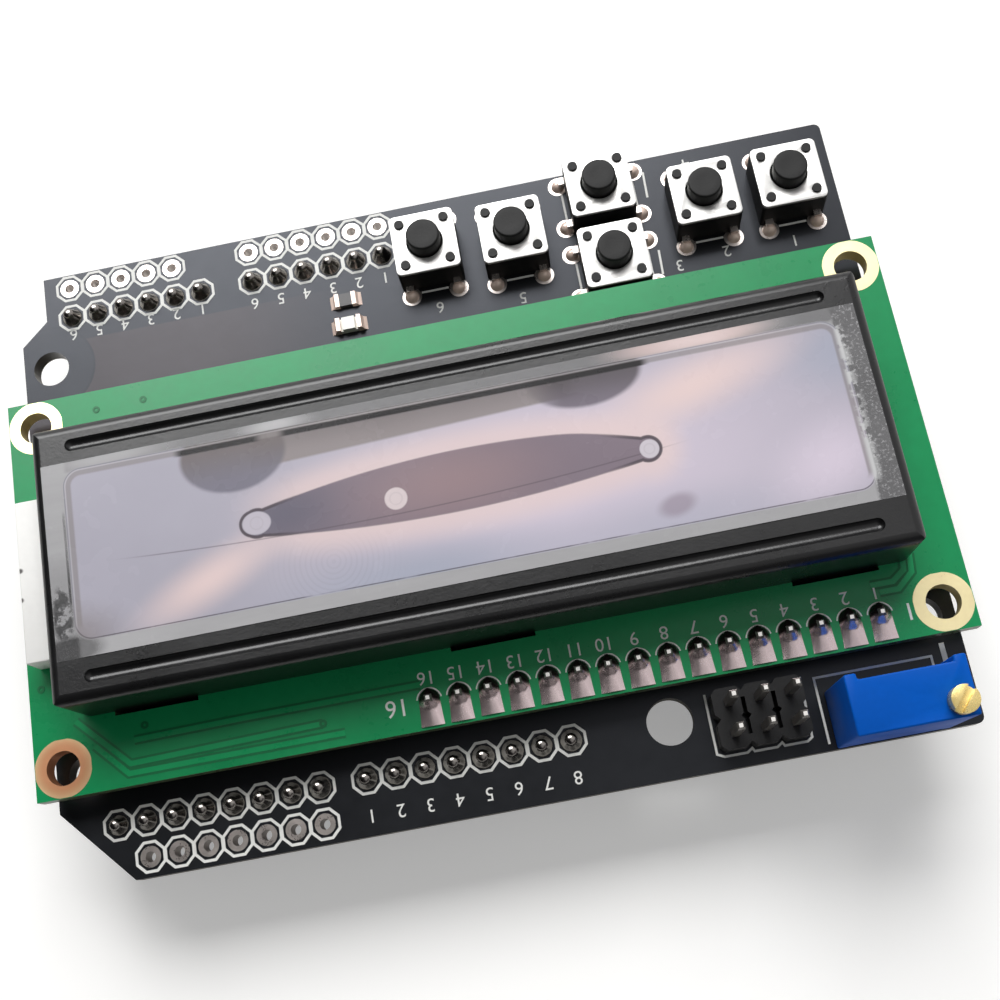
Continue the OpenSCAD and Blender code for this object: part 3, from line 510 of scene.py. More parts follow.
# Place of that outline inside the patch's edge.
WET_OUTLINE = -0.08
# Tones in the wet patch: centre, reach and display colour.
WET_TONES = (((15.0, 2.6), (9.0, 5.0), (112, 108, 122)), ((0.5, 2.6), (12.0, 5.0), (155, 133, 138)))
# Air bubbles in the wet patch: centre, reach and display colour.
BUBBLES = (
    ((16.9, 2.93), (1.3, 1.06), (196, 190, 201)),
    ((5.18, 3.15), (1.02, 1.02), (220, 206, 208)),
    ((-15.95, 3.12), (0.86, 0.86), (210, 203, 211)),
)
# The crease across the film, an arc, and its two ends.
CREASE_ARC = ((8.4, -255.5), 260.0)
CREASE_ENDS = (-14.0, 24.0)
# Painted reflections of the room, and one patch of painted shade, as soft tints of the film: colour, strength,
# centre, reach and turn.
REFLECTION_TINTS = (
    ("film_lilac", 0.85, (-10.0, 4.0), (36.0, 16.0), 0.0),
    ("film_cool", 0.45, (-16.0, 9.6), (16.0, 4.0), 0.0),
    ("film_lilac", 0.9, (-30.0, 7.0), (7.5, 5.0), 0.4),
    ("film_cool", 0.7, (-33.0, -2.0), (7.0, 5.0), 0.0),
    ("film_cool", 0.85, (4.0, 9.6), (18.0, 3.6), 0.0),
    ("film_shade", 0.8, (33.5, 9.8), (7.0, 4.0), 0.0),
    ("film_warm", 0.95, (21.3, 6.9), (9.5, 2.9), 0.42),
    ("film_warm", 1.0, (-20.5, -1.5), (13.0, 3.7), 0.27),
)
# Faint rings in front of the wet patch: centre, rings in 2 pi millimetres and where they fade out.
RINGS = ((11.0, 7.4), 14.0, (7.0, 2.0))
# Pale band round the wet patch: its width and where it fades out to the left.
PALE_BAND = 2.8
PALE_LEFT = (20.0, 12.0)
# Shaded band along the window's rear edge: front limit, its slope and its two ends.
SHADE_BAND = (-2.3, 0.033, (-10.0, 16.0))
# Place of the window's rear edge on the film.
WINDOW_REAR = -4.4
# Strength of the shaded band and of the wet spots at the rear edge.
SPOT_STRENGTH = 0.95
# Wet spots: centre, reach and softness. The right one fades out to the left.
LEFT_SPOT = ((18.2, -3.4), (4.8, 3.5), 0.12)
RIGHT_SPOT = ((-11.8, -4.3), (5.25, 3.0), 0.15)
RIGHT_SPOT_LEFT = (-5.6, -10.0)
FRONT_SPOT = ((-17.2, 8.2), (2.1, 1.25), 0.6, 0.2)
# Painted shadow of the window's rear rim, a dark line along its rear edge: place across, half width and the two
# stretches where it shows.
REAR_RIM_SHADOW = (-4.38, 0.34, ((16.4, 22.4), (-16.6, 13.4)))
# Insets of the frame's window from its sides, rear and front, and the corner radius.
WINDOW = {"side": 2.8, "rear": 4.35, "front": 5.05, "round": 1.4}
# Where the front rim of the window begins, and the film's lap over the rear, left and right of the frame.
FRONT_RIM = (8.4, 9.2)
REAR_LAP, LEFT_LAP, RIGHT_LAP = (-4.5, -4.9), (32.3, 32.8), (-32.7, -33.1)
# The film's lap is this far outside the window's edge.
LAP = (0.06, 0.22)
# A stretch of the rear lap with a painted warm reflection, a wrinkle and a clear corner on the left: centre,
# reach and softness.
WARM_LAP_REFLECTION = ((-21.0, -5.6), (9.0, 2.0), 0.6)
WRINKLE = ((33.75, 7.6), (1.1, 3.0), 0.4)
CLEAR_CORNER = ((33.2, 10.6), (3.4, 1.6), 0.5)
# Clear line beside the wrinkle: place along and its two ends.
CLEAR_LINE = (33.0, (-0.5, 6.5))
# How much the film shows over the window, on its laps, and at the least on the rear lap and the right lap.
SHOWN, LAP_SHOWN, REAR_SHOWN, RIGHT_SHOWN = 0.93, 0.74, 0.25, 0.16
# Patches where the rear lap shows more: centre, reach and strength.
REAR_PATCHES = (
    ((29.0, -5.3), (8.0, 1.8), 0.5), ((14.4, -5.2), (4.2, 1.5), 0.6), ((-21.5, -5.5), (9.5, 1.8), 0.75),
)


def window_gap(tree):
    """Distance in millimetres outside the frame's window, with its rounded corners."""
    low, high = (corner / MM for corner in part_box("lcd_bezel"))
    sides = (low.x + WINDOW["side"], high.x - WINDOW["side"])
    ends = (low.y + WINDOW["rear"], high.y - WINDOW["front"])
    over = []
    for place, (least, most) in zip(in_mm(tree), (sides, ends)):
        away = calc(tree, "ABSOLUTE", calc(tree, "SUBTRACT", place, (least + most) / 2))
        over.append(calc(tree, "SUBTRACT", away, (most - least) / 2 - WINDOW["round"]))
    beyond = {axis: calc(tree, "MAXIMUM", over[axis], 0.0) for axis in (0, 1)}
    corner = size_of(tree, put(tree, "ShaderNodeCombineXYZ", beyond).outputs[0])
    inside = calc(tree, "MINIMUM", calc(tree, "MAXIMUM", *over), 0.0)
    return calc(tree, "SUBTRACT", calc(tree, "ADD", corner, inside), WINDOW["round"])


def film_finish(colours):
    """Clear film with painted reflections in soft tints, a wet patch with a pale band round it, bubbles and a
    crease.
    """
    film = Finish(
        "protective film", colours.film, (0.98, 1.02), 60, (0.2, 0.34), 0.04, 700, contrast=2.0, specular=0.22
    )
    tree = film.tree
    along, across = in_mm(tree)
    dark = shade(colours.film_wet, 0.35)
    # Painted reflections and one patch of painted shade, laid on as soft tints
    for name, strength, centre, reach, turn in REFLECTION_TINTS:
        film.over(film.patch(centre, reach, 1.0, turn), getattr(colours, name), strength)
    centre, rate, limits = RINGS
    away = arc_gap(tree, centre, 0.0)
    rings = calc(tree, "SINE", product(tree, away, rate))
    film.over(fade(tree, rings, 0.0, 1.0, 0, 0.06), dark, fade(tree, away, *limits))
    edge = wet_edge(tree, along)
    film.over(fade(tree, edge, PALE_BAND, 0.2, 0, 0.75), colours.film_warm, fade(tree, along, *PALE_LEFT))
    film_spots(film, colours, along, across)
    film_patch(film, colours, along, edge, dark)
    film_border(film, along, across)
    return film


def wet_edge(tree, along):
    """Distance in millimetres outside the wet patch."""
    rear, front, right = (arc_gap(tree, *arc) for arc in WET_ARCS)
    edge = calc(tree, "SMOOTH_MAX", calc(tree, "MAXIMUM", rear, front), right, 0.5)
    low, high = WET_ENDS[1][0][0], WET_ENDS[0][0][0]
    ends = calc(tree, "MAXIMUM", calc(tree, "SUBTRACT", along, high), calc(tree, "SUBTRACT", low, along))
    edge = calc(tree, "MAXIMUM", edge, ends)
    for end in WET_ENDS:
        edge = calc(tree, "MINIMUM", edge, arc_gap(tree, *end))
    return edge


def film_spots(film, colours, along, across):
    """Shaded band and wet spots that hang from the window's rear edge, and a faint spot in front."""
    tree = film.tree
    limit, slope, ends = SHADE_BAND
    level = calc(tree, "MULTIPLY_ADD", along, -slope, across)
    shaded = product(tree, fade(tree, level, limit + 0.15, limit - 0.15), span(tree, along, *ends, 1.5))
    right = product(tree, film.patch(*RIGHT_SPOT), fade(tree, along, *RIGHT_SPOT_LEFT))
    for mask, front, darker, paler in (
        (shaded, -2.2, shade(colours.film_shade, 0.82), shade(colours.film_shade, 1.15)),
        (film.patch(*LEFT_SPOT), -0.6, tone(112, 104, 104), tone(121, 118, 132)),
        (right, -1.4, tone(86, 80, 84), tone(118, 110, 122)),
    ):
        deep = blend(tree, fade(tree, across, WINDOW_REAR, front), darker, paler)
        film.over(mask, deep, SPOT_STRENGTH)
    film.over(film.patch(*FRONT_SPOT), tone(150, 136, 150), 0.6)


def film_patch(film, colours, along, edge, dark):
    """The long wet patch with its outline, its bubbles and the crease across the film."""
    tree = film.tree
    film.over(line_mask(tree, edge, WET_OUTLINE, 0.14, 0.04, 0.45), dark)
    film.over(fade(tree, edge, 0.02, -0.12), colours.film_wet)
    inside = fade(tree, edge, 0.0, -0.1)
    for centre, reach, level in WET_TONES:
        film.over(inside, tone(*level), film.patch(centre, reach, 1.0))
    tips = calc(tree, "MAXIMUM", *(fade(tree, along, *tip) for tip in WET_TIPS))
    film.over(line_mask(tree, edge, WET_OUTLINE, 0.2, 0.08, 0.85), dark, tips)
    crease = line_mask(tree, arc_gap(tree, *CREASE_ARC), 0.0, 0.1, 0.0, 0.5)
    film.over(crease, dark, span(tree, along, *CREASE_ENDS, 6.0))
    for centre, reach, level in BUBBLES:
        film.over(film.patch(centre, reach, 0.14), tone(*level))
        ring = arc_gap(tree, centre, 0.5 * reach[1])
        film.over(line_mask(tree, ring, 0.0, 0.12, 0.0, 0.16), tone(150, 138, 146))


def film_border(film, along, across):
    """The film's lap over the frame, with its streaks and flecks, painted shade and highlight lines along the
    window's rim, the rim's painted shadow at the rear and a painted warm reflection.
    """
    tree = film.tree
    gap = window_gap(tree)
    front = fade(tree, across, *FRONT_RIM)
    behind = calc(tree, "SUBTRACT", 1.0, front)
    broken = product(tree, front, speckles(tree, 160.0, 0.3, 0.5, (1, 0.1, 1)))
    # Painted shade and painted highlights of the window's rim under the film: a grey band of shade inside it, a
    # pale highlight line, a dark line and broken dark dashes along the front
    for place, half, strength, colour, where in (
        (-0.28, 0.34, 0.7, tone(140, 134, 134), behind),
        (-0.02, 0.1, 0.3, tone(204, 202, 204), behind),
        (0.1, 0.1, 0.5, tone(70, 68, 70), behind),
        (0.04, 0.08, 0.65, tone(60, 58, 62), broken),
    ):
        film.over(line_mask(tree, gap, place, half, 0.4 * half, strength), colour, where)
    lap = fade(tree, gap, *LAP)
    film.over(lap, tone(190, 189, 191))
    # Painted warm reflection on the rear lap
    film.over(lap, tone(226, 206, 204), film.patch(*WARM_LAP_REFLECTION))
    right = fade(tree, along, *RIGHT_LAP)
    flecks = product(tree, fade(tree, gap, 0.75, 0.25), speckles(tree, 900.0, 0.42, 0.5), right)
    film.over(flecks, tone(204, 204, 205))
    # Painted shadow of the window's rear rim
    place, half, stretches = REAR_RIM_SHADOW
    line = line_mask(tree, across, place, half, 0.5 * half)
    shown = (product(tree, line, span(tree, along, *ends, 1.0)) for ends in stretches)
    rear_rim_shadow = calc(tree, "MAXIMUM", *shown)
    film.over(rear_rim_shadow, tone(34, 32, 34))
    film_clearness(film, along, across, lap, right, flecks, rear_rim_shadow)


def film_clearness(film, along, across, lap, right, flecks, rear_rim_shadow):
    """How much of the film shows, from 0 where it is clear to 1."""
    tree = film.tree
    rear_shown = REAR_SHOWN
    for centre, reach, strength in REAR_PATCHES:
        rear_shown = calc(tree, "MULTIPLY_ADD", film.patch(centre, reach, 0.9), strength, rear_shown)
    wrinkle = product(tree, film.patch(*WRINKLE), speckles(tree, 1100.0, 0.4, 0.52))
    place, ends = CLEAR_LINE
    line = product(tree, line_mask(tree, along, place, 0.16, 0.05), span(tree, across, *ends, 1.0))
    corner = film.patch(*CLEAR_CORNER)
    less = calc(tree, "MAXIMUM", calc(tree, "MAXIMUM", wrinkle, line), corner)
    left_shown = calc(tree, "MULTIPLY_ADD", less, -0.45, fade(tree, across, 1.0, 5.5, LAP_SHOWN, 0.5))
    grit = calc(tree, "MULTIPLY_ADD", speckles(tree, 3600.0, 0.54, 0.62), 0.28, RIGHT_SHOWN)
    right_shown = calc(tree, "MULTIPLY_ADD", flecks, 0.36, grit)
    shown = calc(tree, "MULTIPLY_ADD", corner, -0.55, LAP_SHOWN)
    for mask, value in (
        (fade(tree, across, *REAR_LAP), rear_shown), (fade(tree, along, *LEFT_LAP), left_shown),
        (right, right_shown),
    ):
        shown = between(tree, mask, shown, value)
    streak = speckles(tree, 160.0, 0.3, 0.75, (0.3, 1.4, 1))
    shown = product(tree, shown, calc(tree, "MULTIPLY_ADD", streak, 0.2, 0.88))
    # The rim's painted shadow shows through the film fully
    shown = calc(tree, "MAXIMUM", shown, product(tree, rear_rim_shadow, 0.9))
    film.set({"Alpha": clamped(tree, between(tree, lap, SHOWN, shown))})


def merged(node):
    """A copy of a CAD node's mesh with its loose triangles joined."""
    bm = bmesh.new()
    bm.from_mesh(frame["nodes"][node].data)
    bmesh.ops.remove_doubles(bm, verts=bm.verts, dist=NODE_JOIN)
    return bm


def islands(node):
    """Lowest and highest corners of each separate solid in a CAD node, from left to right."""
    bm = merged(node)
    left = set(bm.verts)
    found = []
    while left:
        waiting = [left.pop()]
        low, high = waiting[0].co.copy(), waiting[0].co.copy()
        while waiting:
            vert = waiting.pop()
            low = Vector(map(min, low, vert.co))
            high = Vector(map(max, high, vert.co))
            for edge in vert.link_edges:
                other = edge.other_vert(vert)
                if other in left:
                    left.remove(other)
                    waiting.append(other)
        found.append((low, high))
    bm.free()
    return sorted(found, key=lambda corners: tuple(corners[0]))


def middles(node, level):
    """Centre of each separate solid in a CAD node, at one height."""
    return [Vector(((low.x + high.x) / 2, (low.y + high.y) / 2, level)) for low, high in islands(node)]


def middle(node):
    """Centre of a CAD node."""
    low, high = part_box(node)
    return (low + high) / 2


def on_board(points):
    """Points in millimetres turned into metres."""
    return [(x * MM, y * MM) for x, y in points]


def soften_shading(mesh, angle=CREASE_ANGLE):
    """Smooth shading that breaks at sharp edges."""
    mesh.polygons.foreach_set("use_smooth", [True] * len(mesh.polygons))
    mesh.set_sharp_from_angle(angle=math.radians(angle))


def to_mesh(bm, name, material, angle=CREASE_ANGLE):
    """Turns a bmesh into a smooth-shaded mesh with its creases kept."""
    mesh = bpy.data.meshes.new(name)
    bm.to_mesh(mesh)
    bm.free()
    mesh.materials.append(material)
    soften_shading(mesh, angle)
    return mesh


def close_mesh(bm, name, material, angle=CREASE_ANGLE):
    """Joins the points of a closed bmesh, turns its faces outwards and makes it a mesh."""
    bmesh.ops.remove_doubles(bm, verts=bm.verts, dist=PIECE_JOIN)
    bmesh.ops.recalc_face_normals(bm, faces=bm.faces)
    return to_mesh(bm, name, material, angle)


def add_piece(name, mesh, body=MAIN_BODY, instead=()):
    """Puts a mesh in the scene as a piece that moves with a body."""
    mesh.name = name
    piece = bpy.data.objects.new(name, mesh)
    bpy.context.scene.collection.objects.link(piece)
    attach(piece, body)
    if instead:
        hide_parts(*instead)
    return piece


def band(bm, path, width, low, high):
    """A flat strip along a path, with mitred corners and a thickness."""
    points = [Vector(point[:2]) for point in path]
    count = len(points)
    rows = []
    for step, point in enumerate(points):
        into = point - points[step - 1] if step else points[step + 1] - point
        out = points[step + 1] - point if step + 1 < count else into
        into, out = into.normalized(), out.normalized()
        side = (into + out).orthogonal().normalized()
        reach = width / 2 / max(0.5, abs(side.dot(into.orthogonal())))
        corners = ((1, low), (-1, low), (-1, high), (1, high))
        rows.append([bm.verts.new((*(point + side * reach * sign), level)) for sign, level in corners])
    for first, second in zip(rows, rows[1:]):
        join_rows(bm, first, second)
    bm.faces.new(rows[0][::-1])
    bm.faces.new(rows[-1])


def join_rows(bm, first, second):
    """Faces between two closed rows of points."""
    for corner in range(len(first)):
        after = (corner + 1) % len(first)
        bm.faces.new((first[corner], first[after], second[after], second[corner]))


def lathe(bm, profile, place, sides):
    """A solid turned from a profile of radius and height pairs."""
    rings = []
    for radius, height in profile:
        count = sides if radius > 0 else 1
        turns = [2 * math.pi * step / sides for step in range(count)]
        rings.append([
            bm.verts.new((place[0] + radius * math.cos(a), place[1] + radius * math.sin(a), place[2] + height))
            for a in turns
        ])
    for lower, upper in zip(rings, rings[1:]):
        for step in range(sides):
            after = (step + 1) % sides
            corners = [lower[step % len(lower)], lower[after % len(lower)]]
            corners += [upper[after % len(upper)], upper[step % len(upper)]]
            corners = list(dict.fromkeys(corners))
            if len(corners) > 2:
                bm.faces.new(corners)


def softened(node, material, width=0.0):
    """A copy of a CAD node with its sharp edges rounded by a width."""
    bm = merged(node)
    bmesh.ops.dissolve_limit(bm, angle_limit=math.radians(0.5), verts=bm.verts, edges=bm.edges)
    if width:
        sharp = math.radians(ROUND_ANGLE)
        edges = [edge for edge in bm.edges if edge.is_manifold and edge.calc_face_angle() > sharp]
        bmesh.ops.bevel(
            bm, geom=edges, offset=width, segments=2, profile=0.5, affect="EDGES", clamp_overlap=True
        )
    return to_mesh(bm, node, material)


def ring_tree():
    """Flat rings or outlines on points."""
    tree, take, give = new_group(
        "Pad rings", "GeometryNodeTree",
        [("Points", "NodeSocketGeometry", None), ("Inner radius", "NodeSocketFloat", 0.5 * MM),
         ("Outer radius", "NodeSocketFloat", 0.9 * MM), ("Thickness", "NodeSocketFloat", 0.03 * MM),
         ("Sides", "NodeSocketInt", 32), ("Turn", "NodeSocketFloat", 0.0),
         ("Material", "NodeSocketMaterial", None)],
        [("Rings", "NodeSocketGeometry")],
    )
    inner, outer, sides = (take.outputs[label] for label in ("Inner radius", "Outer radius", "Sides"))
    radius = product(tree, calc(tree, "ADD", inner, outer), 0.5)
    path = put(tree, "GeometryNodeCurvePrimitiveCircle", {"Resolution": sides, "Radius": radius})
    section = put(tree, "GeometryNodeCurvePrimitiveQuadrilateral", {
        "Width": calc(tree, "SUBTRACT", outer, inner), "Height": take.outputs["Thickness"],
    })
    ring = put(tree, "GeometryNodeCurveToMesh", {"Curve": path.outputs[0], "Profile Curve": section.outputs[0]})
    turn = put(tree, "ShaderNodeCombineXYZ", {2: take.outputs["Turn"]})
    spin = put(tree, "FunctionNodeEulerToRotation", {0: turn.outputs[0]})
    copies = put(tree, "GeometryNodeInstanceOnPoints", {
        "Points": take.outputs["Points"], "Instance": ring.outputs[0], "Rotation": spin.outputs[0],
    })
    finish_tree(tree, copies, take, give.inputs["Rings"])


def copies_tree():
    """Copies of a modelled piece on points, each a little different in size."""
    tree, take, give = new_group(
        "Copies", "GeometryNodeTree",
        [("Points", "NodeSocketGeometry", None), ("Piece", "NodeSocketObject", None),
         ("Least size", "NodeSocketFloat", 0.94), ("Most size", "NodeSocketFloat", 1.06),
         ("Seed", "NodeSocketInt", 7), ("Material", "NodeSocketMaterial", None)],
        [("Copies", "NodeSocketGeometry")],
    )
    model = put(tree, "GeometryNodeObjectInfo", {"Object": take.outputs["Piece"]})
    limits = {2: take.outputs["Least size"], 3: take.outputs["Most size"], 8: take.outputs["Seed"]}
    size = put(tree, "FunctionNodeRandomValue", limits, data_type="FLOAT").outputs[1]
    scale = put(tree, "ShaderNodeCombineXYZ", {axis: size for axis in range(3)})
    copies = put(tree, "GeometryNodeInstanceOnPoints", {
        "Points": take.outputs["Points"], "Instance": model.outputs["Geometry"], "Scale": scale.outputs[0],
    })
    finish_tree(tree, copies, take, give.inputs["Copies"])


def finish_tree(tree, copies, take, result):
    """Makes the copies real and gives them their material."""
    real = put(tree, "GeometryNodeRealizeInstances", {"Geometry": copies.outputs[0]})
    dressed = put(tree, "GeometryNodeSetMaterial", {
        "Geometry": real.outputs[0], "Material": take.outputs["Material"],
    })
    feed(tree, result, dressed.outputs[0])


def evaluated_mesh(name, data, tree=None, values=()):
    """Plain mesh of an object's data, after a node tree with its inputs where one is given."""
    carrier = bpy.data.objects.new(name, data)
    bpy.context.scene.collection.objects.link(carrier)
    if tree:
        modifier = carrier.modifiers.new("grow", "NODES")
        modifier.node_group = tree
        sockets = {s.name: s.identifier for s in tree.interface.items_tree if s.in_out == "INPUT"}
        for label, value in values:
            modifier[sockets[label]] = value
    made = bpy.data.meshes.new_from_object(carrier.evaluated_get(bpy.context.evaluated_depsgraph_get()))
    bpy.data.objects.remove(carrier)
    return made


def grown(tree_name, points, values):
    """Mesh that a node tree makes on some points."""
    mesh = bpy.data.meshes.new("points")
    mesh.from_pydata([tuple(point) for point in points], [], [])
    made = evaluated_mesh("points", mesh, bpy.data.node_groups[tree_name], values.items())
    bpy.data.meshes.remove(mesh)
    soften_shading(made)
    return made


def copies_of(bm, points, material, spread, seed):
    """Mesh of copies of a modelled piece, with sizes that differ by a spread."""
    shape = close_mesh(bm, "model", material)
    model = bpy.data.objects.new("model", shape)
    bpy.context.scene.collection.objects.link(model)
    made = grown("Copies", points, {
        "Piece": model, "Least size": 1 - spread, "Most size": 1 + spread, "Seed": seed, "Material": material,
    })
    bpy.data.objects.remove(model)
    bpy.data.meshes.remove(shape)
    return made


def joints_of(shares, height, points, sizes, material, spread, seed):
    """Mesh of turned solder joints, from radii in shares of the pad and heights in shares of the joint."""
    bm = bmesh.new()
    lathe(bm, [(r * sizes.pad_radius, h * height) for r, h in shares], (0, 0, 0), sizes.joint_sides)
    return copies_of(bm, points, material, spread, seed)


def rings_of(points, inner, outer, thickness, material, sides=32, turn=0.0):
    """Mesh of flat rings."""
    return grown("Pad rings", points, {
        "Inner radius": inner, "Outer radius": outer, "Thickness": thickness, "Sides": sides, "Turn": turn,
        "Material": material,
    })


def add_digits(bm, text, place, height, thickness):
    """Adds a printed number, centred on a place."""
    curve = bpy.data.curves.new("digits", "FONT")
    curve.body = text
    curve.size = height * TYPE_SIZE
    curve.align_x, curve.align_y = "CENTER", "CENTER"
    curve.resolution_u = 3
    curve.extrude = thickness / 2
    mesh = evaluated_mesh("digits", curve)
    mesh.transform(Matrix.Translation(place))
    bm.from_mesh(mesh)
    bpy.data.curves.remove(curve)
    bpy.data.meshes.remove(mesh)


def dress(material, *nodes):
    """Gives CAD nodes a material."""
    for node in nodes:
        data = frame["nodes"][node].data
        data.materials.clear()
        data.materials.append(material)


class KEYPAD_OT_stage(bpy.types.Operator):
    """Sets up the floor, the light and the camera"""

    bl_idname = "keypad.stage"
    bl_label = "Stage"

    # Place and size of each lamp. The rear lamp gives light and shadow, the sheen lamp gives reflections
    REAR_LAMP = ((-0.06, -0.72, 0.815), (0.8, 0.66))
    SHEEN_LAMP = ((0.16, -0.70, 0.83), (0.8, 0.66))
    TOP_LAMP = ((-0.10, 0.10, 0.36), (0.30, 0.30))
    # What shiny surfaces mirror: the bright rear wall, and the room nearer by on the right and on the left
    WALL, NEAR_RIGHT, NEAR_LEFT = tone(250, 249, 250), tone(110, 108, 109), tone(26, 25, 26)
    # The wall's lower edge and its slant, how it fades to the right, and where the room nearer by changes
    WALL_EDGE, WALL_SLANT, WALL_SIDES, NEAR_SIDES = (-0.12, -0.3), 0.5, (-0.5, 0.3, 0.7, 1.0), (-0.3, 0.25)
    WHITE = (1, 1, 1)
    FLOOR_HALF = 1.5
    # Light that the floor adds for the camera alone
    FLOOR_LIFT = 0.27

    def execute(self, context):
        scene = context.scene
        look = scene.keypad_stage
        scene.view_settings.view_transform = "Standard"
        self.room(scene, look)
        self.floor(scene)
        self.lamp(scene, "rear lamp", look.key_power, *self.REAR_LAMP).visible_glossy = False
        self.lamp(scene, "sheen lamp", look.key_power, *self.SHEEN_LAMP).visible_diffuse = False
        self.lamp(scene, "top lamp", look.fill_power, *self.TOP_LAMP)
        camera = bpy.data.cameras.new("camera")
        camera.lens = look.lens
        camera.sensor_fit = "AUTO"
        camera.clip_start = 0.005
        eye = bpy.data.objects.new("camera", camera)
        right, back = Vector(look.sideways).normalized(), -Vector(look.ahead).normalized()
        axes = Matrix((right, back.cross(right), back)).transposed().to_4x4()
        eye.matrix_world = Matrix.Translation(look.eye) @ axes
        scene.collection.objects.link(eye)
        scene.camera = eye
        return {"FINISHED"}

    def room(self, scene, look):
        """Even light, a bright rear wall in reflections, and white where the camera looks past the floor."""
        world = bpy.data.worlds.new("room")
        scene.world = world
        world.use_nodes = True
        tree = world.node_tree
        tree.nodes.clear()
        rays = put(tree, "ShaderNodeLightPath").outputs
        toward = put(tree, "ShaderNodeTexCoord").outputs["Generated"]
        side, ahead = put(tree, "ShaderNodeSeparateXYZ", {0: toward}).outputs[:2]
        slant = calc(tree, "MULTIPLY_ADD", side, self.WALL_SLANT, ahead)
        lit = product(tree, fade(tree, slant, *self.WALL_EDGE), fade(tree, side, *self.WALL_SIDES))
        near = blend(tree, fade(tree, side, *self.NEAR_SIDES), self.NEAR_RIGHT, self.NEAR_LEFT)
        even, mirrored, seen = (
            put(tree, "ShaderNodeBackground", {"Color": colour, "Strength": strength}).outputs[0]
            for colour, strength in (
                (self.WHITE, look.room), (blend(tree, lit, near, self.WALL), 1.0), (self.WHITE, 1.0)
            )
        )
        shiny = calc(tree, "MAXIMUM", rays["Is Glossy Ray"], rays["Is Transmission Ray"])
        unseen = put(tree, "ShaderNodeMixShader", {0: shiny, 1: even, 2: mirrored}).outputs[0]
        whole = put(tree, "ShaderNodeMixShader", {0: rays["Is Camera Ray"], 1: unseen, 2: seen}).outputs[0]
        put(tree, "ShaderNodeOutputWorld", {0: whole}).is_active_output = True

    def floor(self, scene):
        """A pale floor that takes the part's shadow."""
        bm = bmesh.new()
        bmesh.ops.create_grid(bm, x_segments=8, y_segments=8, size=self.FLOOR_HALF)
        mesh = bpy.data.meshes.new("floor")
        bm.to_mesh(mesh)
        bm.free()
        finish = Finish("pale floor", tone(238, 237, 235), (0.99, 1.01), 60, (0.85, 0.95), 0.02, 300)
        tree, plain = finish.tree, finish.shader.outputs[0]
        rays = put(tree, "ShaderNodeLightPath").outputs
        lift = put(tree, "ShaderNodeEmission", {"Color": self.WHITE, "Strength": self.FLOOR_LIFT})
        lifted = put(tree, "ShaderNodeAddShader", {0: plain, 1: lift.outputs[0]}).outputs[0]
        mixed = put(tree, "ShaderNodeMixShader", {0: rays["Is Camera Ray"], 1: plain, 2: lifted})
        feed(tree, tree.nodes["Material Output"].inputs[0], mixed.outputs[0])
        mesh.materials.append(finish.material)
        ground = bpy.data.objects.new("floor", mesh)
        scene.collection.objects.link(ground)

    def lamp(self, scene, name, power, place, size):
        """A flat lamp that faces the part."""
        light = bpy.data.lights.new(name, "AREA")
        light.shape = "RECTANGLE"
        light.size, light.size_y = size
        light.energy = power
        lamp = bpy.data.objects.new(name, light)
        lamp.location = place
        lamp.rotation_euler = Vector(place).to_track_quat("Z", "Y").to_euler()
        scene.collection.objects.link(lamp)
        return lamp


class KEYPAD_OT_finishes(bpy.types.Operator):
    """Makes the materials and gives every CAD node one"""

    bl_idname = "keypad.finishes"
    bl_label = "Finishes"

    SLOTS = {
        "board_black": "mask_black", "board_green": "mask_green", "header_plastic": "plastic",
        "pin_metal": "tin", "solder": "solder", "trimmer_blue": "blue", "screw_brass": "brass",
        "lamp_white": "lamp", "chip_dark": "chip", "frame_black": "frame", "polariser_grey": "polariser",
        "cell_glass": "glass", "clear_film": "film", "backlight_white": "white", "guide_clear": "guide",
        "contact_rubber": "rubber", "switch_black": "plastic", "cover_steel": "steel", "dome_steel": "steel",
        "button_black": "button",
    }

    def execute(self, context):
        FINISHES.update(make_finishes(context.scene.keypad_colours))
        ring_tree()
        copies_tree()
        for part in frame["record"]["subparts"]:
            dress(FINISHES[self.SLOTS[part["material_slot"]]], part["node"])
        dress(FINISHES["pin"], "icsp_pins", "lcd_header_pins")
        return {"FINISHED"}


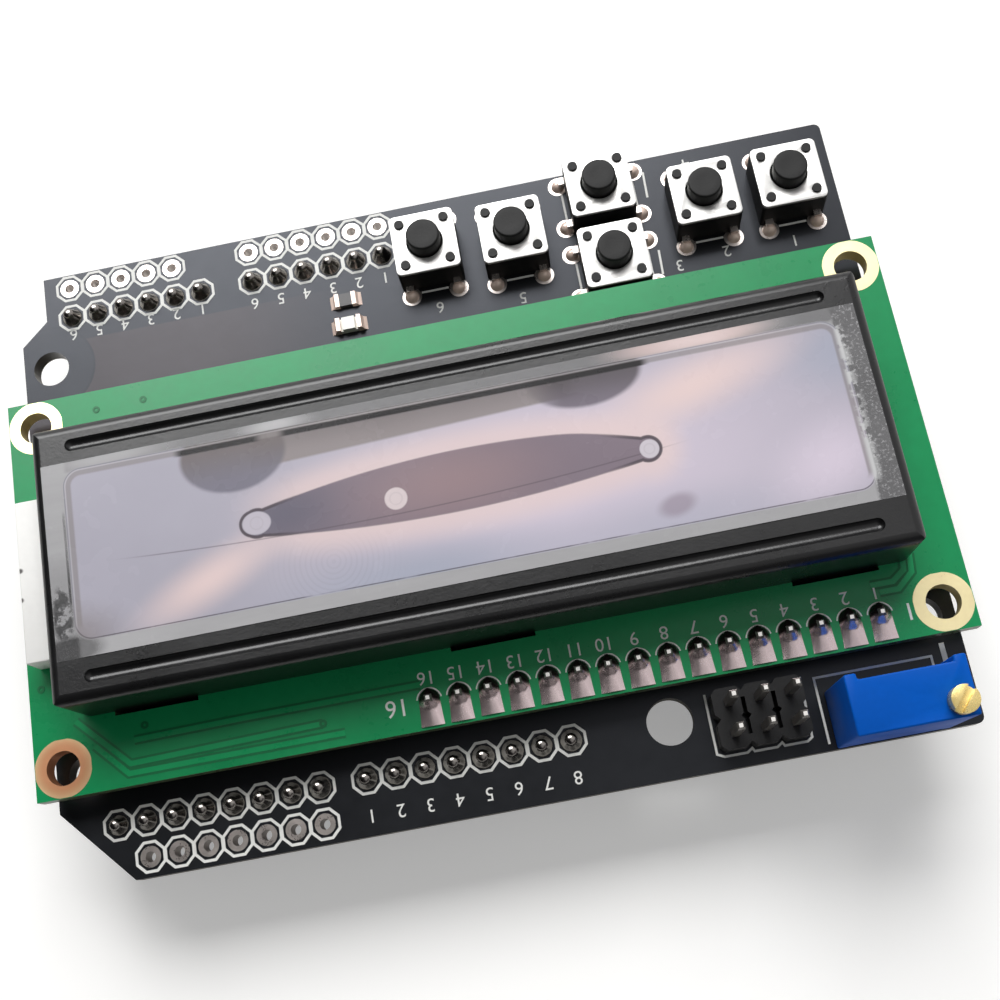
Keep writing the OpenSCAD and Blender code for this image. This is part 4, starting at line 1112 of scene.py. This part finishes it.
class KEYPAD_OT_carrier_print(bpy.types.Operator):
    """Prints the outlines and numbers on the carrier board and tins its pads"""

    bl_idname = "keypad.carrier_print"
    bl_label = "Carrier board print and pads"

    # Distance of the bare second rows from the header rows, and the wall of the lining in their holes
    SECOND_ROW = 3.1 * MM
    LINING = 0.05 * MM
    # Sides of the outline round each pad. Every other one lies higher than its neighbours, which it meets,
    # by this share of the ink's height
    OUTLINE_SIDES, STAGGER = 8, 0.2
    # Distance of the numbers from the pins of each row, in millimetres
    ROW_NUMBERS = {"analog": 1.75, "power": 2.3, "digital_high": 3.1}
    # Place of each switch's number from the switch's centre, in millimetres
    SWITCH_NUMBERS = {
        "select": (0.2, 5.1), "left": (-1.3, 4.8), "up": (-6.0, 0.9), "down": (-8.7, -2.0), "right": (0.1, 5.4),
        "reset": (-0.2, 5.2),
    }
    # Lines beside each switch: distance from its centre and half length. Two switches stand the other way
    SWITCH_LINE, SWITCH_LINE_HALF = 3.4 * MM, 1.3 * MM
    UPRIGHT_SWITCHES = ("up", "down")
    # A thick bar beside the trimmer, in millimetres, and its width in shares of the line's
    BAR = ((-37.35, 21.7), (-37.35, 23.6))
    BAR_WIDTH = 2.2
    # Two short lines beside the paired switches, in millimetres
    PAIR_LINES = (((-21.9, -27.4), (-21.8, -24.7)), ((-21.7, -19.1), (-21.6, -16.6)))
    # The hook round the trimmer: its distance behind it and on both sides, its short leg and the gap in front
    HOOK_REAR, HOOK_RIGHT, HOOK_LEFT = 1.3 * MM, 0.55 * MM, 0.05 * MM
    HOOK_LEG, HOOK_GAP = 1.2 * MM, 0.5 * MM
    # Depth of the notches in the outline of the programming pins
    NOTCH = 0.3 * MM

    def execute(self, context):
        sizes = context.scene.keypad_sizes
        low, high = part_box("shield_board")
        base, top = low.z, high.z
        flat = 2 * sizes.print_height
        bare = self.bare_holes(top)
        pads = rings_of(bare, sizes.hole_radius, sizes.pad_radius, flat, FINISHES["tin"])
        add_piece("bare_pads", pads)
        depths = [Vector((hole.x, hole.y, (base + top) / 2)) for hole in bare]
        inner = sizes.hole_radius - self.LINING
        lining = rings_of(depths, inner, sizes.hole_radius, top - base + flat, FINISHES["tin"])
        add_piece("hole_linings", lining)
        turn = math.pi / self.OUTLINE_SIDES
        outer = sizes.outline_width / 2 / math.cos(turn)
        step = Vector((0, 0, self.STAGGER * sizes.print_height))
        pins = middles("header_solder", top)
        spots = [point + step * (round(point.x / PITCH) % 2) for point in pins + bare]
        inner = outer - sizes.outline_line
        outlines = rings_of(spots, inner, outer, flat, FINISHES["ink"], self.OUTLINE_SIDES, turn)
        add_piece("pad_outlines", outlines)
        bm = bmesh.new()
        ink_top = top + sizes.print_height
        for path in self.lines():
            band(bm, path, sizes.print_width, top - SINK, ink_top)
        band(bm, on_board(self.BAR), self.BAR_WIDTH * sizes.print_width, top - SINK, ink_top)
        for text, place in self.numbers():
            add_digits(bm, text, (*place, top), sizes.digit_height, flat)
        add_piece("carrier_print", close_mesh(bm, "carrier_print", FINISHES["ink"]))
        return {"FINISHED"}

    def bare_holes(self, top):
        """Centres of the second rows of holes, which carry no header."""
        step = Vector((0, self.SECOND_ROW, 0))
        front = [point + step for point in middles("digital_low_pins", top)[:-1]]
        rear = middles("analog_pins", top)[1:] + middles("power_pins", top)
        return front + [point - step for point in rear]

    def lines(self):
        """Printed lines round the switches, the trimmer and the programming pins."""
        paths = []
        for name in SWITCHES:
            centre = middle(name + "_cover").to_2d()
            along = Vector((0, 1)) if name in self.UPRIGHT_SWITCHES else Vector((1, 0))
            half = along * self.SWITCH_LINE_HALF
            for side in (-1, 1):
                row = centre + along.orthogonal() * side * self.SWITCH_LINE
                paths.append((row - half, row + half))
        paths += [on_board(line) for line in self.PAIR_LINES]
        return paths + [self.trimmer_line(), self.notched_line()]

    def trimmer_line(self):
        """A hook round the trimmer's rear and one side."""
        low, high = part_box("trimmer_body")
        rear, right, left = low.y - self.HOOK_REAR, high.x + self.HOOK_RIGHT, low.x + self.HOOK_LEFT
        return (left, rear + self.HOOK_LEG), (left, rear), (right, rear), (right, high.y - self.HOOK_GAP)

    def notched_line(self):
        """The outline of the programming pins, with a notch between each two."""
        low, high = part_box("icsp_strip")
        dip = self.NOTCH
        front = high.y + dip
        path = [(low.x - dip, low.y)]
        for cell in range(3):
            start = low.x + cell * PITCH
            path += [(start - dip / 2, front - dip), (start + dip, front), (start + PITCH - dip, front)]
        return path + [(high.x + dip, front - dip), (high.x + dip, low.y)]

    def numbers(self):
        """Plain numbers beside the pins and the switches."""
        found = []
        for name, gap in self.ROW_NUMBERS.items():
            points = middles(name + "_pins", 0)
            for count, point in enumerate(reversed(points) if name == "digital_high" else points):
                found.append((str(count + 1), (point.x, point.y + gap * MM)))
        for count, (name, shift) in enumerate(self.SWITCH_NUMBERS.items()):
            spot = middle(name + "_cover")
            found.append((str(count + 1), (spot.x + shift[0] * MM, spot.y + shift[1] * MM)))
        return found


class KEYPAD_OT_headers(bpy.types.Operator):
    """Raises the solder joints of the header pins"""

    bl_idname = "keypad.headers"
    bl_label = "Header solder"

    # Radius in shares of the pad and height in shares of the joint, from the board up
    JOINT = ((0, -0.02), (1.08, -0.02), (1.06, 0.05), (0.98, 0.13), (0.88, 0.25), (0.77, 0.4), (0.67, 0.57),
             (0.58, 0.75), (0.48, 0.89), (0.3, 0.97), (0, 1))

    def execute(self, context):
        sizes = context.scene.keypad_sizes
        pins = middles("header_solder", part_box("shield_board")[1].z)
        joints = joints_of(
            self.JOINT, sizes.joint_height, pins, sizes, FINISHES["dark_solder"], spread=0.05, seed=11
        )
        add_piece("header_joints", joints, instead=("header_solder",))
        return {"FINISHED"}


class KEYPAD_OT_push_switches(bpy.types.Operator):
    """Rounds the buttons and covers and raises the legs' solder joints"""

    bl_idname = "keypad.push_switches"
    bl_label = "Push switches"

    # Radius in shares of the pad and height in shares of the joint, from the board up
    JOINT = ((0, -0.03), (0.72, -0.03), (0.7, 0.1), (0.63, 0.36), (0.52, 0.66), (0.38, 0.88), (0.18, 0.98),
             (0, 1))
    # Inner and outer radius of the leg pads, in shares of a pad's
    LEG_PAD = (0.4, 1.02)
    # Sides of a button, steps in its rounded rim, and the depth of its dish half way in and in the middle
    BUTTON_SIDES, RIM_STEPS = 48, 5
    HALF_DISH, DISH = 0.03 * MM, 0.04 * MM
    DOME_LEAST = 0.2

    def execute(self, context):
        sizes = context.scene.keypad_sizes
        for name in SWITCHES:
            self.button(name, sizes)
            cover = softened(name + "_cover", FINISHES["steel"], sizes.cover_round)
            add_piece(name + "_plate", cover, instead=(name + "_cover",))
            self.dome(name)
        legs = middles("switch_solder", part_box("shield_board")[1].z)
        joints = joints_of(
            self.JOINT, sizes.leg_joint_height, legs, sizes, FINISHES["pink_solder"], spread=0.08, seed=3
        )
        add_piece("leg_joints", joints, instead=("switch_solder",))
        inner, outer = (share * sizes.pad_radius for share in self.LEG_PAD)
        pads = rings_of(legs, inner, outer, 2 * sizes.print_height, FINISHES["tin"])
        add_piece("leg_pads", pads)
        return {"FINISHED"}

    def button(self, name, sizes):
        """A round button with a rounded rim and a slightly dished top."""
        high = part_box(name + "_plunger")[1]
        centre = middle(name + "_plunger")
        crown = [v.co for v in frame["nodes"][name + "_plunger"].data.vertices if v.co.z > high.z - SINK]
        radius, edge = max((co - centre).to_2d().length for co in crown), sizes.button_round
        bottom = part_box(name + "_cover")[0].z
        tall = high.z - bottom
        turns = [math.pi / 2 * step / self.RIM_STEPS for step in range(self.RIM_STEPS + 1)]
        rim = [(radius - edge * (1 - math.cos(a)), tall - edge * (1 - math.sin(a))) for a in turns]
        dish = [(radius * 0.5, tall - self.HALF_DISH), (0, tall - self.DISH)]
        bm = bmesh.new()
        lathe(bm, [(0, 0), (radius, 0)] + rim + dish, (centre.x, centre.y, bottom), self.BUTTON_SIDES)
        mesh = close_mesh(bm, name, FINISHES["button"])
        add_piece(name + "_button_cap", mesh, name + "_button", (name + "_plunger",))

    def dome(self, name):
        """A snap dome copied from its CAD node, with a mesh of its own."""
        mesh = softened(name + "_dome", FINISHES["steel"])
        piece = add_piece(name + "_snap_dome", mesh, instead=(name + "_dome",))
        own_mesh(piece)


class KEYPAD_OT_display_board(bpy.types.Operator):
    """Plates the display board's holes, prints it and adds tracks and solder"""

    bl_idname = "keypad.display_board"
    bl_label = "Display board"

    # Raised tracks and vias in millimetres
    TRACKS = (
        ((36.1, 15.1), (33.8, 17.4), (31.7, 19.5), (15.1, 19.2)),
        ((31.2, 17.6), (22.0, 17.5), (6.5, 17.5)),
        ((34.6, 17.5), (31.9, 20.3), (13.3, 20.3)),
        ((-35.2, 14.4), (-35.0, 15.6), (-33.9, 16.4), (-32.0, 16.4)),
        ((-35.8, 14.3), (-35.6, 15.9), (-34.2, 17.1), (-32.6, 17.1)),
    )
    VIAS = ((31.8, -12.8), (27.4, -12.9), (38.9, 11.8), (15.05, 19.2), (30.2, 16.5))
    # Inner radius, outer radius and thickness of a via
    VIA = (0.12 * MM, 0.34 * MM, 0.08 * MM)
    # Tracks and the wider gaps beside them: piece, finish, width in shares of a track's, and height
    TRACK_LAYERS = (
        ("display_track_gaps", "track_gap", 1.9, 0.01 * MM), ("display_tracks", "track", 1.0, 0.03 * MM),
    )
    # Each track lies this much higher than the one before, so that crossing tracks never share a face
    TRACK_STEP = 0.003 * MM
    # Holes: distance from the board's edges, radius, how far a ring reaches, and its rise below and above
    HOLE_INSET, HOLE, RING_REACH = 2.5 * MM, 1.5 * MM, 2.45 * MM
    RING_RISE = (0.02 * MM, 0.03 * MM)
    # Wall of the holes' lining, thickness of its two flat rings and steps round it
    LINING, RING_FLAT, RING_STEPS = 0.04 * MM, 0.03 * MM, 64
    # Display joints: pad radius, rear end, gap to the board's front edge and flare towards it
    PAD, PAD_BACK, EDGE_GAP, FLARE = 0.9 * MM, -0.88 * MM, 0.25 * MM, 0.1 * MM
    # Their height at the rim, their swell, and the peak round each pin with its reach
    RIM, SWELL, PEAK, PEAK_REACH = 0.05 * MM, 0.4 * MM, 0.5 * MM, 0.95 * MM
    PAD_ROWS, PAD_COLUMNS = 30, 20
    # Distance of the pin numbers behind the pins, and place and size of the larger numbers at both ends
    PIN_LABEL_GAP = 1.85 * MM
    END_LABELS = (-2.4 * MM, 2.8 * MM)
    END_LABEL_SHIFT, END_LABEL_SIZE = 0.2 * MM, 1.3
    # Arcs behind the pads: radius, shift, line width in shares of the print's, steps, and start and turn in pi
    ARC, ARC_SHIFT, ARC_WIDTH, ARC_STEPS = 1.05 * MM, 0.1 * MM, 0.6, 12
    ARC_START, ARC_TURN = 1.05, 0.9

    def execute(self, context):
        sizes = context.scene.keypad_sizes
        low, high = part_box("lcd_board")
        top = high.z
        pins = middles("lcd_header_pins", top)
        self.hole_rings(sizes, low, high)
        for name, finish, share, rise in self.TRACK_LAYERS:
            bm = bmesh.new()
            for step, track in enumerate(self.TRACKS):
                level = top + rise + self.TRACK_STEP * step
                band(bm, on_board(track), share * sizes.track_width, top - SINK, level)
            add_piece(name, close_mesh(bm, name, FINISHES[finish]))
        vias = [(*place, top) for place in on_board(self.VIAS)]
        rings = rings_of(vias, *self.VIA, FINISHES["track_gap"], sides=20)
        add_piece("display_vias", rings)
        joint = self.pad_joint(high.y - pins[0].y)
        joints = copies_of(joint, pins, FINISHES["pad_solder"], spread=0.02, seed=5)
        add_piece("display_joints", joints, instead=("lcd_solder",))
        self.print_labels(sizes, pins, top)
        return {"FINISHED"}

    def hole_rings(self, sizes, low, high):
        """Plated rings, cut off at the board's edges, with a lining in each hole."""
        bm = bmesh.new()
        levels = (low.z - self.RING_RISE[0], high.z + self.RING_RISE[1])
        for x in (low.x + self.HOLE_INSET, high.x - self.HOLE_INSET):
            for y in (low.y + self.HOLE_INSET, high.y - self.HOLE_INSET):
                self.lined_ring(bm, (x, y), self.HOLE + sizes.ring_width, levels)
        add_piece("display_hole_rings", close_mesh(bm, "rings", FINISHES["gold"]))

    def lined_ring(self, bm, centre, outer, levels):
        """A flanged lining: a tube in the hole with a flat ring on each face."""
        rows = []
        wall, bore = self.HOLE - self.LINING, self.HOLE
        under, over = levels
        lower, upper = under + self.RING_FLAT, over - self.RING_FLAT
        for step in range(self.RING_STEPS):
            turn = 2 * math.pi * step / self.RING_STEPS
            aim = Vector((math.cos(turn), math.sin(turn)))
            far = min(outer, self.RING_REACH / max(abs(aim.x), abs(aim.y)))
            section = (
                (wall, under), (far, under), (far, lower), (bore, lower),
                (bore, upper), (far, upper), (far, over), (wall, over),
            )
            rows.append([bm.verts.new((centre[0] + aim.x * r, centre[1] + aim.y * r, z)) for r, z in section])
        for first, second in zip(rows, rows[1:] + rows[:1]):
            join_rows(bm, first, second)

    def pad_joint(self, ahead):
        """A solder joint that rises round its pin and fans out to the board's front edge."""
        bm = bmesh.new()
        rear, front = self.PAD_BACK, ahead - self.EDGE_GAP
        grid = []
        for row in range(self.PAD_ROWS + 1):
            y = rear + (front - rear) * row / self.PAD_ROWS
            half = math.sqrt(max(0, self.PAD ** 2 - y * y))
            if y >= 0:
                half = self.PAD + self.FLARE * (y / front) ** 2
            line = []
            for column in range(self.PAD_COLUMNS + 1):
                share = 2 * column / self.PAD_COLUMNS - 1
                x = share * half
                swell = self.SWELL * (1 - share ** 2) * (1 - 0.6 * max(0, y / front))
                peak = self.PEAK * max(0, 1 - (x * x + y * y) / self.PEAK_REACH ** 2) ** 1.5
                line.append(bm.verts.new((x, y, self.RIM + swell + peak)))
            grid.append(line)
        for near, far in zip(grid, grid[1:]):
            for column in range(self.PAD_COLUMNS):
                bm.faces.new((near[column], near[column + 1], far[column + 1], far[column]))
        rim = [edge for edge in bm.edges if edge.is_boundary]
        skirt = bmesh.ops.extrude_edge_only(bm, edges=rim)["geom"]
        for vert in skirt:
            if isinstance(vert, bmesh.types.BMVert):
                vert.co.z = -SINK
        bmesh.ops.holes_fill(bm, edges=[edge for edge in bm.edges if edge.is_boundary])
        return bm

    def print_labels(self, sizes, pins, top):
        """Pin numbers and the arcs behind the pads."""
        bm = bmesh.new()
        flat = 2 * sizes.print_height
        for count, pin in enumerate(pins):
            place = (pin.x, pin.y - self.PIN_LABEL_GAP, top)
            add_digits(bm, str(count + 1), place, sizes.digit_height, flat)
        for text, pin, shift in zip(("1", str(len(pins))), (pins[0], pins[-1]), self.END_LABELS):
            place = (pin.x + shift, pin.y + self.END_LABEL_SHIFT, top)
            add_digits(bm, text, place, self.END_LABEL_SIZE * sizes.digit_height, flat)
        steps = range(self.ARC_STEPS + 1)
        turns = [math.pi * (self.ARC_START + self.ARC_TURN * step / self.ARC_STEPS) for step in steps]
        arc = [(self.ARC * math.cos(a), self.ARC_SHIFT + self.ARC * math.sin(a)) for a in turns]
        for pin in pins:
            path = [(pin.x + x, pin.y + y) for x, y in arc]
            band(bm, path, self.ARC_WIDTH * sizes.print_width, top - SINK, top + sizes.print_height)
        add_piece("display_print", close_mesh(bm, "print", FINISHES["ink"]))


class KEYPAD_OT_display_film(bpy.types.Operator):
    """Lays the protective film over the display's window and rounds the backlight's end block"""

    bl_idname = "keypad.display_film"
    bl_label = "Display film and backlight"

    # Turn of the film on the frame, in radians
    FILM_TURN = 0.005
    # Heights of the film's two faces above the film solid's underside, and the squares along and across
    FACES = (0.02 * MM, 0.055 * MM)
    COLUMNS, ROWS = 120, 36
    # Share of the ripple's height for one unit of the wave, and the wave's depth
    WAVE_SHARE, WAVE_DEPTH = 0.25, 1.4
    BLOCK_ROUND = 0.12 * MM

    def execute(self, context):
        self.film(context.scene.keypad_sizes)
        block = softened("backlight_housing", FINISHES["white"], self.BLOCK_ROUND)
        add_piece("backlight_block", block, instead=("backlight_housing",))
        return {"FINISHED"}

    def wave(self, x, y):
        """Two crossing ripples and a finer one, for a place in metres from the film's centre."""
        return math.sin(x * 330 + 40 * y) * math.sin(y * 520 + 0.6) + math.sin(x * 910 - y * 300) * 0.4

    def film(self, sizes):
        """A thin rippled sheet a little out of square with the frame."""
        low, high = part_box("protective_film")
        spot, half = (low + high) / 2, (high - low) / 2
        columns, rows, wide = self.COLUMNS, self.ROWS, self.COLUMNS + 1
        bm = bmesh.new()
        layers = []
        for face in self.FACES:
            grid = []
            for row in range(rows + 1):
                for column in range(columns + 1):
                    x = half.x * (2 * column / columns - 1)
                    y = half.y * (2 * row / rows - 1)
                    lift = sizes.film_ripple * self.WAVE_SHARE * (self.WAVE_DEPTH + self.wave(x, y))
                    place = (spot.x + x - self.FILM_TURN * y, spot.y + y + self.FILM_TURN * x)
                    grid.append(bm.verts.new((*place, low.z + face + lift)))
            layers.append(grid)
        under, over = layers
        for row in range(rows):
            for column in range(columns):
                corner = row * wide + column
                ring = (corner, corner + 1, corner + wide + 1, corner + wide)
                bm.faces.new([over[index] for index in ring])
                bm.faces.new([under[index] for index in reversed(ring)])
        rim = list(range(columns)) + [row * wide + columns for row in range(rows)]
        rim += [rows * wide + column for column in range(columns, 0, -1)]
        rim += [row * wide for row in range(rows, 0, -1)]
        join_rows(bm, [under[index] for index in rim], [over[index] for index in rim])
        mesh = close_mesh(bm, "film", FINISHES["film"])
        add_piece("film_sheet", mesh, instead=("protective_film",))


class KEYPAD_OT_trimmer(bpy.types.Operator):
    """Rounds the contrast trimmer and its screw"""

    bl_idname = "keypad.trimmer"
    bl_label = "Contrast trimmer"

    BODY_ROUND, SCREW_ROUND = 0.16 * MM, 0.08 * MM

    def execute(self, context):
        body = softened("trimmer_body", FINISHES["blue"], self.BODY_ROUND)
        add_piece("trimmer_housing", body, instead=("trimmer_body",))
        screw = softened("trimmer_screw", FINISHES["brass"], self.SCREW_ROUND)
        add_piece("trimmer_screw_head", screw, "contrast_screw", ("trimmer_screw",))
        return {"FINISHED"}


class KEYPAD_OT_chips(bpy.types.Operator):
    """Adds the end caps and solder of the small chips"""

    bl_idname = "keypad.chips"
    bl_label = "Chip ends"

    # Length of a cap along its chip, thickness of its metal and length of its solder toe
    CAP, SKIN, TOE = 0.4 * MM, 0.03 * MM, 0.5 * MM
    # Edges that turn by more than this many degrees stay sharp on the ends
    END_ANGLE = 25

    def execute(self, context):
        bm = bmesh.new()
        for node in ("power_led", "chip_resistors"):
            for low, high in islands(node):
                for side in (-1, 1):
                    self.end(bm, low, high, side)
        ends = close_mesh(bm, "chip_ends", FINISHES["pink_solder"], self.END_ANGLE)
        add_piece("chip_ends", ends)
        return {"FINISHED"}

    def end(self, bm, low, high, side):
        """A plated cap with a solder toe, on one end of a chip."""
        spot, reach = (low + high) / 2, (high - low) / 2
        along = 0 if reach.x > reach.y else 1
        tall, half = high.z - low.z, reach[1 - along] + self.SKIN
        outline = (
            (-self.CAP, 0), (self.TOE, 0), (0.85 * self.TOE, 0.08 * tall), (0.4 * self.TOE, 0.3 * tall),
            (self.SKIN, 0.85 * tall), (self.SKIN, tall), (0, tall + self.SKIN), (-self.CAP, tall + self.SKIN),
        )
        sheets = []
        for edge in (-half, half):
            sheet = []
            for out, up in outline:
                place = [0, 0, low.z + up]
                place[along] = spot[along] + side * (reach[along] + out)
                place[1 - along] = spot[1 - along] + edge
                sheet.append(bm.verts.new(place))
            sheets.append(sheet)
        first, second = sheets
        bm.faces.new(first)
        bm.faces.new(second[::-1])
        join_rows(bm, first, second)


class KEYPAD_PT_panel(bpy.types.Panel):
    """Lists the sizes, colours, stage settings and the building steps"""

    bl_idname = "KEYPAD_PT_panel"
    bl_label = "Keypad board"
    bl_space_type = "VIEW_3D"
    bl_region_type = "UI"
    bl_category = "Keypad board"

    def draw(self, context):
        for name in GROUPS:
            group = getattr(context.scene, name)
            box = self.layout.box()
            for label in group.__annotations__:
                box.prop(group, label)
        for operator in OPERATORS:
            self.layout.operator(operator.bl_idname)


GROUPS = {"keypad_sizes": BoardSizes, "keypad_colours": BoardColours, "keypad_stage": BoardStage}
OPERATORS = (
    KEYPAD_OT_finishes, KEYPAD_OT_stage, KEYPAD_OT_carrier_print, KEYPAD_OT_headers, KEYPAD_OT_push_switches,
    KEYPAD_OT_display_board, KEYPAD_OT_display_film, KEYPAD_OT_trimmer, KEYPAD_OT_chips,
)
CLASSES = (*GROUPS.values(), *OPERATORS, KEYPAD_PT_panel)


def register():
    """Adds the classes and the scene's settings."""
    for item in CLASSES:
        bpy.utils.register_class(item)
    for name, group in GROUPS.items():
        setattr(bpy.types.Scene, name, PointerProperty(type=group))


def unregister():
    """Takes them out again."""
    for name in GROUPS:
        delattr(bpy.types.Scene, name)
    for item in reversed(CLASSES):
        bpy.utils.unregister_class(item)


def main():
    """Builds the visual model."""
    register()
    for operator in OPERATORS:
        family, name = operator.bl_idname.split(".")
        getattr(getattr(bpy.ops, family), name)()


if __name__ == "__main__":
    main()
